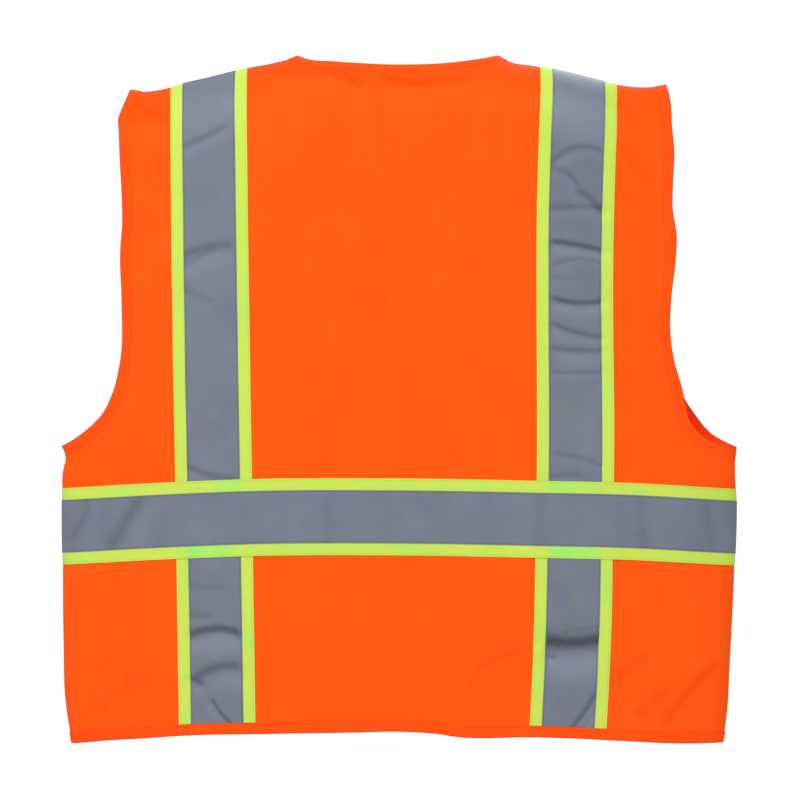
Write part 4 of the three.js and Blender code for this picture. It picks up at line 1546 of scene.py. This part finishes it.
@dataclass
class Stitching(Maker):
    """Rows of lock stitch: small capsules end to end, proud of the cloth.

    trim_inset, tape_inset and binding_inset are how far inside those edges the stitches run, and reach is
    how far round the waist they go, as a share of its half-width.
    """

    bands: Bands
    bindings: Bindings
    pitch: float = 3.2
    length: float = 2.5
    radius: float = 0.24
    trim_inset: float = 1.6
    tape_inset: float = 1.4
    binding_inset: float = 1.2
    reach: float = 0.995

    @property
    def layers(self) -> Layers:
        """The heights of the layers that are sewn."""
        return self.bands.panels.layers

    def capsules(self, name: str, lines: Sequence[Array]) -> bpy.types.Object:
        """One small capsule for each pitch of each line: rings of four points at two stations with a
        point at each end, carried to the line's place, direction and sideways.

        Args:
            name: the piece's name.
            lines: rows of points in metres.

        Returns:
            The piece.
        """
        end, r = self.length / 2, self.radius
        ring = [(r, 0), (0, r), (-r, 0), (0, -r)]
        rings = [(x, y, z) for x in (-end * 0.6, end * 0.6) for y, z in ring]
        shape = np.array([(-end, 0, 0), *rings, (end, 0, 0)])
        faces = []
        for k in range(4):
            n = (k + 1) % 4
            faces += [(0, 1 + n, 1 + k, 0), (1 + k, 1 + n, 5 + n, 5 + k), (5 + k, 5 + n, 9, 9)]
        places, ways = [], []
        for line in lines:
            share = evenly(line, self.pitch * MM) * (len(line) - 1)
            at = np.arange(len(line))
            dots = np.stack([np.interp(share, at, line[:, k]) for k in range(3)], axis=1)
            way = np.diff(dots, axis=0)
            places.append((dots[1:] + dots[:-1]) / 2)
            ways.append(way / np.linalg.norm(way, axis=1, keepdims=True))
        place, way = np.concatenate(places), np.concatenate(ways)
        up = np.array([0.0, 1, 0]) + 0 * way
        up[np.abs(way[:, 1]) > 0.9] = (1.0, 0, 0)
        side = np.cross(way, up)
        side /= np.linalg.norm(side, axis=1, keepdims=True)
        over = np.cross(way, side)
        axes = np.stack([way, side, over], axis=1)
        points = place[:, None, :] + np.einsum("pk,skj->spj", shape * MM, axes)
        index = np.array(faces)[None] + (np.arange(len(place)) * len(shape))[:, None, None]
        return triangles_of(name, points.reshape(-1, 3), index.reshape(-1, 4))

    def sew(self, name: str, lines: Sequence[Array], thread: str, body: "str | Side", slot: str) -> None:
        """Makes stitches along lines, in a thread, on a body or across a side's bend."""
        self.fitter.fit(self.capsules(name, lines), thread, body, slot=slot)

    def stripe_lines(self, width: float, inset: float, height: float) -> list[Array]:
        """Two lines along each vertical stripe, just inside its edges.

        Args:
            width: the strip's width.
            inset: how far inside its edges the lines run.
            height: the strip's outer face, over the middle of the body cloth.

        Returns:
            The lines.
        """
        lines = []
        for half in Half:
            for side in Side:
                q = self.bands.stripe_rows(side, 1.0, self.form.height - 1)
                centre = self.bands.centre(half, side, q)
                for away in (inset - width / 2, width / 2 - inset):
                    lines.append(self.form.place(centre + away, q, half, np.full_like(q, height)))
        return lines

    def waist_lines(self, start: float, stop: float, half: Half, part: Part) -> list[Array]:
        """Two lines round the waist, just inside the edges of its trim or tape.

        Args:
            start: where they start, as a share of the half-width.
            stop: where they stop, likewise.
            half: the back or the front.
            part: trim or tape.

        Returns:
            The lines.
        """
        bands = self.bands
        if part is Part.TRIM:
            top, width, inset, height = 0.0, bands.trim_width, self.trim_inset, self.layers.trim[1]
        else:
            top, width, inset, height = bands.inset, bands.tape_width, self.tape_inset, self.layers.tape[1]
        share = self.form.columns(1.0, start, stop)
        lines = []
        for drop in (top + inset, top + width - inset):
            x, z = bands.waist_places(share, drop)
            lift = bands.over_stripes(x, z, half) + height
            lines.append(self.form.place(x, self.form.q_of(x, z), half, lift))
        return lines

    def edge_line(self, path: Path, width: float) -> Array:
        """A line just inside a binding's free edge, on its outer face."""
        depth = width - self.binding_inset
        height = self.bindings.rise(path, depth, width)
        return self.bindings.at(path, np.array([depth]), np.array([height]))[:, 0]

    def edge_lines(self, neck: Path, hem: Path) -> list[Array]:
        """The lines along a neckline's and a hem's bindings."""
        return [self.edge_line(neck, self.bindings.neck_width), self.edge_line(hem, self.bindings.width)]

    def build(self) -> None:
        """Sews the trim in lime thread, the tape in grey thread and the bindings in orange thread."""
        bands, bindings = self.bands, self.bindings
        on_trim = self.stripe_lines(bands.trim_width, self.trim_inset, self.layers.trim[1])
        on_tape = self.stripe_lines(bands.tape_width, self.tape_inset, self.layers.tape[1])
        on_trim += self.waist_lines(-self.reach, self.reach, Half.BACK, Part.TRIM)
        on_tape += self.waist_lines(-self.reach, self.reach, Half.BACK, Part.TAPE)
        edges = self.edge_lines(bindings.neck_path(), bindings.hem_path(Half.BACK))
        self.sew("trim_stitches", on_trim, "lime_thread", "garment", "lime_trim")
        self.sew("tape_stitches", on_tape, "grey_thread", "garment", "reflective_tape")
        self.sew("edge_stitches", edges, "orange_thread", "garment", "binding_cloth")
        start = (bands.panels.front_edge + 2) / self.form.half_width
        for side in Side:
            reach = side.value * start, side.value * self.reach, Half.FRONT
            name, trim, tape = side.label, *(self.waist_lines(*reach, part) for part in Part)
            edges = self.edge_lines(bindings.front_neck_path(side), bindings.hem_path(Half.FRONT, side))
            self.sew(f"{name}_waist_trim_stitches", trim, "lime_thread", side, "lime_trim")
            self.sew(f"{name}_waist_tape_stitches", tape, "grey_thread", side, "reflective_tape")
            self.sew(f"{name}_front_edge_stitches", edges, "orange_thread", side, "binding_cloth")


# ---------------------------------------------------------------- the zip


@dataclass
class Zip(Maker):
    """An open-ended zip down the front edges: woven tapes, moulded teeth, and the frame's own hardware.

    tape_in and tape_out are how far from the middle each tape runs, and seam is where it is sewn. plane is
    the depth y of the teeth, tooth_middle their middle and cord where the bead along their roots lies.
    """

    stitching: Stitching
    tape_in: float = 8.6
    tape_out: float = 21.6
    tape_heights: Heights = (-1.35, -0.75)
    seam: float = 17.0
    plane: float = 50.95
    tooth_pitch: float = 2.6
    tooth_thickness: float = 1.1
    tooth_middle: float = 6.8
    cord: float = 8.5
    cord_radius: float = 0.75

    def tape(self, side: Side) -> None:
        """A straight strip behind the front's edge, as long as its frame node.

        Args:
            side: which front it is on.
        """
        node, body = f"{side.label}_zip_tape", f"{side.label}_lapel"
        low, high = (corner[2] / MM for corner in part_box(node))
        x = side.value * np.linspace(self.tape_in, self.tape_out, 8)[None, :]
        q = self.form.q_of(x, np.linspace(low, high, 210)[:, None])
        inner, outer = (self.form.place(x, q, Half.FRONT, h + 0 * q) for h in self.tape_heights)
        self.fitter.cloth(Slab(outer, inner), f"{node}_strip", "zip_tape", body, [node], "stretched")
        lines = [self.sewn_line(side, low + 4, high - 4)]
        self.stitching.sew(f"{side.label}_zip_stitches", lines, "orange_thread", body, "binding_cloth")

    def sewn_line(self, side: Side, low: float, high: float) -> Array:
        """A stitched line on the cloth over the middle of the tape."""
        z = np.linspace(low, high, 400)
        x = np.full_like(z, side.value * self.seam)
        height = np.full_like(z, self.stitching.layers.body[1])
        return self.form.place(x, self.form.q_of(x, z), Half.FRONT, height)

    def teeth(self, side: Side) -> None:
        """Moulded teeth a pitch apart: a waisted outline with a round head, given a thickness, and a bead
        along their roots.

        Args:
            side: which front they are on.
        """
        node = f"{side.label}_zip_chain"
        low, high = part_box(node)
        outline = np.array([
            (8.3, -0.8), (7.0, -0.75), (6.5, -0.55), (5.9, -0.85), (5.4, -0.6), (5.3, 0.0), (5.4, 0.6),
            (5.9, 0.85), (6.5, 0.55), (7.0, 0.75), (8.3, 0.8),
        ])
        count = len(outline)
        z = np.arange(low[2] / MM + 1.2, high[2] / MM - 1.0, self.tooth_pitch)
        rings = []
        for y, shrink in ((-1, 0.82), (-0.7, 1.0), (0.7, 1.0), (1, 0.82)):
            ring = np.insert(outline, 1, self.plane + y * self.tooth_thickness, axis=1)
            ring[:, 0] = (ring[:, 0] - self.tooth_middle) * shrink + self.tooth_middle
            ring[:, 2] *= shrink
            rings.append(ring)
        tooth = np.concatenate(rings)
        points = tooth[None] + np.stack([0 * z, 0 * z, z], axis=1)[:, None, :]
        points[..., 0] *= side.value
        quads = []
        for layer in range(3):
            for k in range(count):
                n = (k + 1) % count
                a, b = layer * count, (layer + 1) * count
                quads.append((a + k, a + n, b + n, b + k))
        for base, order in ((0, -1), (3 * count, 1)):
            for k in range(count // 2):
                quad = (base + k, base + k + 1, base + count - 2 - k, base + count - 1 - k)
                quads.append(quad[::order])
        index = np.array(quads)[None] + (np.arange(len(z)) * len(tooth))[:, None, None]
        piece = triangles_of(f"{side.label}_zip_teeth", points.reshape(-1, 3) * MM, index.reshape(-1, 4))
        self.fitter.fit(piece, "zip_plastic", f"{side.label}_lapel", [node])
        turn = np.linspace(0, math.tau, 9)[:-1][None, :]
        line = np.linspace(low[2] / MM, high[2] / MM, 120)[:, None]
        bead = np.stack(np.broadcast_arrays(
            side.value * (self.cord + self.cord_radius * np.cos(turn)),
            self.plane + self.cord_radius * np.sin(turn),
            line,
        ), axis=-1)
        self.fitter.fit(tube(f"{side.label}_zip_cord", bead * MM), "zip_tape", f"{side.label}_lapel")

    def build(self) -> None:
        """Makes the tapes and teeth, and gives the frame's hardware its finishes."""
        for side in Side:
            self.tape(side)
            self.teeth(side)
        plastic = ("left_zip_top_stop", "right_zip_top_stop", "zip_retaining_box", "zip_insertion_pin")
        for node in plastic:
            self.fitter.finishes.dress(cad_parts[node], "zip_plastic")
        for node in ("zip_slider", "zip_pull"):
            self.fitter.finishes.dress(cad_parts[node], "zip_metal")


def tube(name: str, rings: Array) -> bpy.types.Object:
    """A closed tube through rings of points, with its two ends filled by fans about their middles.

    Args:
        name: the piece's name.
        rings: (ring, point, 3) places in metres.

    Returns:
        The piece.
    """
    m, n = rings.shape[:2]
    i, j = (grid.ravel() for grid in np.meshgrid(np.arange(m - 1), np.arange(n), indexing="ij"))
    k = (j + 1) % n
    walls = np.stack([i * n + j, i * n + k, (i + 1) * n + k, (i + 1) * n + j], axis=1)
    points = np.concatenate([rings.reshape(-1, 3), rings[:1].mean(axis=1), rings[-1:].mean(axis=1)])
    j = np.arange(n)
    k = (j + 1) % n
    middle = 0 * j + m * n
    first = np.stack([k, j, middle, middle], axis=1)
    last = np.stack([(m - 1) * n + j, (m - 1) * n + k, middle + 1, middle + 1], axis=1)
    return triangles_of(name, points, np.concatenate([walls, first, last]))


# ---------------------------------------------------------------- pockets and label


@dataclass
class Pockets(Maker):
    """A chest pocket with a flap on touch fasteners, two inner pockets, and a plain label in the neck.

    chest, flap, patch and label are boxes (x from, x to, z from, z to). inner is how far out the inner
    pockets start and end, and hinge the height of the flap's fold.
    """

    stitching: Stitching
    chest: Box = (-80.0, -22.0, -398.0, -282.0)
    flap: Box = (-81.5, -20.5, -312.0, -262.0)
    patch: Box = (-73.0, -29.0, -307.0, -291.0)
    label: Box = (-26.0, 26.0, -62.0, -24.0)
    inner: tuple[float, float] = (140.0, 260.0)
    inner_height: float = 135.0
    inner_floor: float = 11.0
    hinge: float = -266.0
    hinge_reach: float = 1.5
    flap_size: tuple[float, float] = (0.061, 0.05)
    flap_inner: Heights = (0.55, 3.55)
    flap_outer: Heights = (1.25, 4.35)
    flap_climb: float = 5.5
    pocket_face: float = 1.45
    stitch_inset: float = 1.8

    def grid(self, box: Box, step: float) -> tuple[Array, Array]:
        """Places x and q over a box of x and z, step apart.

        Args:
            box: the box.
            step: the distance between places.

        Returns:
            x and q, both (row, column).
        """
        x0, x1, z0, z1 = box
        x = np.linspace(x0, x1, max(3, round((x1 - x0) / step) + 1))[None, :]
        z = np.linspace(z0, z1, max(3, round((z1 - z0) / step) + 1))[:, None]
        x, z = np.broadcast_arrays(x, z)
        return x, self.form.q_of(x, z)

    def patch_of(
        self, box: Box, half: Half, heights: Heights, puff: float = 0.0, step: float = 2.5
    ) -> Slab:
        """A rectangle of cloth whose middle stands out by puff: a product of two half sines.

        Args:
            box: its box of x and z.
            half: the back or the front.
            heights: its inner and outer face, over the middle of the body cloth.
            puff: how far its middle stands out.
            step: the grid's step.

        Returns:
            The slab.
        """
        x, q = self.grid(box, step)
        rows, columns = np.linspace(0, 1, x.shape[0])[:, None], np.linspace(0, 1, x.shape[1])[None, :]
        swell = puff * np.sin(math.pi * rows) * np.sin(math.pi * columns)
        inner, outer = (self.form.place(x, q, half, h + swell) for h in heights)
        return Slab(outer, inner)

    def seam_lines(self, box: Box, height: float) -> list[Array]:
        """Stitched lines down both sides and across the bottom of a box, just inside it.

        Args:
            box: the box of x and z.
            height: the lines' height over the middle of the body cloth.

        Returns:
            The lines.
        """
        x0, x1, z0, z1 = box
        x0, x1, z0 = x0 + self.stitch_inset, x1 - self.stitch_inset, z0 + self.stitch_inset
        corners = [(x0, z1 - 1), (x0, z0), (x1, z0), (x1, z1 - 1)]
        lines = []
        for (ax, az), (bx, bz) in zip(corners, corners[1:]):
            x, z = np.linspace(ax, bx, 150), np.linspace(az, bz, 150)
            lines.append(self.form.place(x, self.form.q_of(x, z), Half.FRONT, height + 0 * x))
        return lines

    def chest_pocket(self) -> None:
        """The patch pocket, and the loop side of its fastener."""
        slab = self.patch_of(self.chest, Half.FRONT, (0.6, self.pocket_face), 0.25)
        self.fitter.cloth(slab, "chest_pocket_cloth", "orange_cloth", "left_lapel", ["chest_pocket"])
        loop = self.patch_of(self.patch, Half.FRONT, (1.6, 2.3), step=1.5)
        nodes = ["chest_pocket_loop_patch"]
        self.fitter.cloth(loop, "chest_pocket_loop", "hook_and_loop", "left_lapel", nodes)
        lines = self.seam_lines(self.chest, self.pocket_face)
        self.stitching.sew("pocket_stitches", lines, "orange_thread", "left_lapel", "orange_cloth")

    def chest_flap(self) -> None:
        """The flap: sewn flat above the hinge line, climbing to lie over the pocket below it."""
        x, q = self.grid(self.flap, 1.6)
        climb = ramp(self.hinge + 0.6 - self.form.z_of(x, q), 0, self.flap_climb)
        inner, outer = (self.form.place(x, q, Half.FRONT, low + (high - low) * climb)
                        for low, high in (self.flap_inner, self.flap_outer))
        piece = Slab(outer, inner).build("chest_pocket_flap_cloth")
        sharpen(piece)
        self.fitter.finishes.dress(piece, "orange_cloth")
        middle, depth = (self.flap[0] + self.flap[1]) / 2, self.form.half_depth + 4
        start, end = ((middle * MM, depth * MM, z * MM) for z in
                      (self.hinge + self.hinge_reach, self.hinge - self.hinge_reach))
        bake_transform(piece)
        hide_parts("chest_pocket_flap")
        hook = self.patch_of(self.patch, Half.FRONT, (2.6, 3.45), step=1.5)
        nodes = ["chest_pocket_hook_patch"]
        self.fitter.cloth(hook, "chest_pocket_hook", "hook_and_loop", "pocket_flap", nodes)
        lines = self.seam_lines((*self.flap[:3], self.hinge - 7), self.flap_outer[1])
        self.stitching.sew("flap_stitches", lines, "orange_thread", "pocket_flap", "orange_cloth")

    def inner_pocket(self, side: Side) -> None:
        """A patch pocket inside a front, standing on the hem binding.

        Args:
            side: which front.
        """
        x0, x1 = (side.value * x for x in self.inner)
        floor = self.form.hem(np.array([x0, x1])).max() + self.inner_floor
        box = (min(x0, x1), max(x0, x1), floor, floor + self.inner_height)
        slab = self.patch_of(box, Half.FRONT, (-1.5, -0.85))
        node = f"{side.label}_inner_pocket"
        self.fitter.cloth(slab, f"{node}_cloth", "orange_cloth", "garment", [node])

    def neck_label(self) -> None:
        """A plain label inside the back of the neck."""
        slab = self.patch_of(self.label, Half.BACK, (-1.5, -0.6), step=2)
        self.fitter.cloth(slab, "neck_label_cloth", "label_cloth", "garment", ["neck_label"])

    def build(self) -> None:
        """Makes the pockets and the label."""
        self.chest_pocket()
        self.chest_flap()
        for side in Side:
            self.inner_pocket(side)
        self.neck_label()


# ---------------------------------------------------------------- scene


@dataclass(frozen=True)
class Studio:
    """Soft white light, a pale floor and a camera square to the back."""

    lens: float = 250.0
    sensor: float = 36.0
    frame_width: float = 776.0
    aim: Place = (2.0, 0.0, -334.0)
    floor: float = -1200.0
    floor_radius: float = 6000.0
    ambient: float = 0.56
    surround: float = 1.05

    def camera(self) -> None:
        """Puts the camera where the frame is frame_width wide at the garment's outline."""
        data = bpy.data.cameras.new("camera")
        data.lens, data.sensor_width = self.lens, self.sensor
        data.clip_end = 100
        camera = put("camera", data)
        x, y, z = self.aim
        camera.location = (x * MM, (y - self.frame_width * self.lens / self.sensor) * MM, z * MM)
        camera.rotation_euler = (math.pi / 2, 0, 0)
        bpy.context.scene.camera = camera

    def area(self, name: str, place: Place, size: float, power: float) -> None:
        """A square soft light that faces the middle of the vest.

        Args:
            name: the light's name.
            place: where it stands, in metres.
            size: the length of its sides, in metres.
            power: its power in watts.
        """
        data = bpy.data.lights.new(name, "AREA")
        data.shape, data.size, data.energy = "SQUARE", size, power
        lamp = put(name, data)
        lamp.location = place
        middle = Vector((0, 0, self.aim[2] * MM))
        lamp.rotation_euler = (lamp.location - middle).to_track_quat("Z", "Y").to_euler()

    def world(self) -> None:
        """A white surround, plain white to the camera and dimmer as light."""
        world = bpy.data.worlds.new("surround")
        world.use_nodes = True
        tree = world.node_tree
        tree.nodes.clear()
        path = tree.nodes.new("ShaderNodeLightPath")
        strength = tree.nodes.new("ShaderNodeMapRange")
        strength.inputs["To Min"].default_value = self.ambient
        strength.inputs["To Max"].default_value = self.surround
        tree.links.new(path.outputs["Is Camera Ray"], strength.inputs["Value"])
        back = tree.nodes.new("ShaderNodeBackground")
        back.inputs["Color"].default_value = (1, 1, 1, 1)
        tree.links.new(strength.outputs[0], back.inputs["Strength"])
        out = tree.nodes.new("ShaderNodeOutputWorld")
        tree.links.new(back.outputs[0], out.inputs["Surface"])
        bpy.context.scene.world = world

    def ground(self) -> None:
        """A pale round floor, far below the hanging vest."""
        turn = np.linspace(0, math.tau, 97)[:-1]
        points = np.stack([np.cos(turn), np.sin(turn), 0 * turn], axis=1) * self.floor_radius * MM
        points[:, 2] = self.floor * MM
        mesh = bpy.data.meshes.new("floor")
        mesh.from_pydata(points.tolist(), [], [tuple(range(len(points)))])
        floor = put("floor", mesh)
        nodes = Nodes("floor")
        nodes.finish({"Base Color": (0.9, 0.9, 0.9, 1), "Roughness": 0.9})
        floor.data.materials.append(nodes.material)

    def build(self) -> None:
        """Makes the camera, the lights, the surround and the floor."""
        self.camera()
        self.world()
        self.ground()
        self.area("key", place=(-0.8, -1.9, 1.8), size=0.8, power=50)
        self.area("fill", place=(1.6, -2.4, -0.9), size=1.4, power=8)
        self.area("front", place=(0.8, 2.3, 1.7), size=1.4, power=50)
        scene = bpy.context.scene
        scene.view_settings.view_transform = "Standard"
        scene.view_settings.look = "None"


def back_creases() -> list[Crease]:
    """The pressed creases and soft folds of the back, from the neck down on each band, then on the cloth, each
    with its painted shade; the last of the right stripe's is no groove, only a painted highlight.
    """
    right_stripe = [
        Crease((147, -107.5), (200, -97.5), 1.2, 2.6, bow=10.5, tone=0.45),
        Crease((149, -111.5), (173, -130.5), 0.8, 2.4, bow=4, tone=0.4),
        Crease((172, -133.5), (200, -158.5), 1.3, 3.4, bow=2, tone=0.55),
        Crease((146, -150.5), (201, -151.5), 1.1, 2.4, bow=2, tone=0.5),
        Crease((147, -182.5), (202, -192.5), 2.2, 2.6, bow=1, tone=1.0),
        Crease((148, -205.5), (197, -202.5), 0.8, 1.8, bow=5, tone=0.35),
        Crease((148, -216.5), (177, -218.5), 0.6, 1.6, tone=0.2),
        Crease((147, -236.5), (201, -239), 2.1, 2.5, bow=-4, tone=1.0),
        Crease((147, -260.5), (201, -274.5), 1.5, 2.4, bow=-3, tone=0.6),
        Crease((146, -284.5), (201, -286.5), 1.4, 2.6, bow=-2, tone=0.6),
        Crease((147, -307.5), (201, -307), 0.7, 1.4, bow=-1, tone=0.4),
        Crease((148, -385.5), (200, -398.5), 0.7, 2.0, bow=2, tone=0.3),
        Crease((145, -407.5), (177, -406.5), 0.7, 1.8, tone=0.35),
        # No groove: a wide painted highlight on the grey tape near the top of the right stripe.
        Crease((140, -62), (212, -76), 0.0, 26, tone=-0.5),
    ]
    left_stripe = [
        Crease((-210, -92.5), (-163, -70.5), 0.8, 2.6, bow=-1, tone=0.35),
        Crease((-208, -198.5), (-159, -186.5), 1.3, 4.5, bow=3, tone=0.45),
        Crease((-207, -208.5), (-175, -188.5), 0.6, 3.0, tone=0.2),
        Crease((-206, -228.5), (-179, -240.5), 0.6, 3.0, tone=0.2),
        Crease((-207, -395.5), (-155, -410.5), 0.9, 2.6, bow=-4, tone=0.4),
    ]
    lower_left = [
        Crease((-203, -562.5), (-151, -559.5), 2.2, 4.2, bow=5, tone=1.1),
        Crease((-196, -603), (-151, -591), 1.8, 4.8, bow=4, tone=0.75),
        Crease((-203, -601), (-188, -608.5), 1.3, 3.0, tone=0.7),
        Crease((-179, -622), (-158, -648), 1.4, 1.8, bow=-2, tone=0.85),
        Crease((-204, -542), (-179, -543), 0.7, 3.0, tone=0.3),
        Crease((-204, -514), (-167, -516), 0.6, 3.0, tone=0.2),
    ]
    lower_right = [
        Crease((141, -568), (198, -566), 3.0, 7.6, bow=-3, tone=1.5),
        Crease((160, -659), (192, -614), 1.4, 2.4, bow=-2, tone=0.9),
        Crease((168, -659), (197, -622), 0.8, 1.6, bow=-2, tone=0.4),
        Crease((141, -579), (152, -583), 0.7, 1.6, tone=0.5),
        Crease((158, -558), (199, -551), 0.7, 2.2, tone=0.3),
    ]
    waist = [
        Crease((-276, -478), (-246, -428), 1.2, 6.0, tone=0.5),
        Crease((-315, -470), (-298, -430), 0.8, 4.0, bow=-3, tone=0.3),
        Crease((137, -482), (139, -428), 0.6, 6.0, tone=0.2),
        Crease((240, -484), (236, -430), 0.6, 6.0, tone=0.2),
        Crease((306, -484), (300, -432), 0.6, 5.0, tone=0.2),
        Crease((-60, -478), (-66, -428), 0.5, 7.0, tone=0.15),
    ]
    cloth = [
        Crease((141, -567), (78, -589), 1.9, 3.6, bow=-3, tone=0.6),
        Crease((80, -588), (66, -614), 1.1, 4, tone=0.35),
        Crease((-84, -12), (-36, -33), 1.4, 4, bow=3, tone=0.7),
        Crease((-118, -18), (-70, -24), 1.0, 4, tone=0.4),
        Crease((-16, -20), (28, -30), 1.2, 4, bow=-3, tone=0.7),
        Crease((20, -30), (72, -26), 0.8, 5, tone=0.4),
        Crease((256, -650), (309, -590), 1.6, 5, bow=2, tone=0.6),
        Crease((228, -640), (262, -616), 1.0, 6, tone=0.4),
        Crease((205, -608), (242, -582), 1.0, 6, tone=0.35),
        Crease((-258, -48), (-232, -58), 1.6, 4, tone=0.4),
        Crease((-262, -66), (-218, -60), 0.9, 5, tone=0.3),
        Crease((206, -44), (226, -58), 1.3, 4, tone=0.5),
        Crease((212, -90), (240, -128), 0.8, 6, tone=0.3),
        Crease((-300, -640), (-240, -600), 0.8, 8, tone=0.25),
    ]
    return right_stripe + left_stripe + lower_left + lower_right + waist + cloth


def main() -> None:
    """Builds the vest and its surroundings, and reports each piece."""
    logging.basicConfig(level=logging.INFO, format="%(message)s")
    Studio().build()
    fitter = Fitter(Finishes())
    form = Form(Outline(), back_creases())
    panels = Panels(form, fitter)
    panels.build()
    bindings = Bindings(form, fitter, panels)
    bindings.build()
    bands = Bands(form, fitter, panels)
    bands.build()
    stitching = Stitching(form, fitter, bands, bindings)
    stitching.build()
    Zip(form, fitter, stitching).build()
    Pockets(form, fitter, stitching).build()


if __name__ == "__main__":
    main()
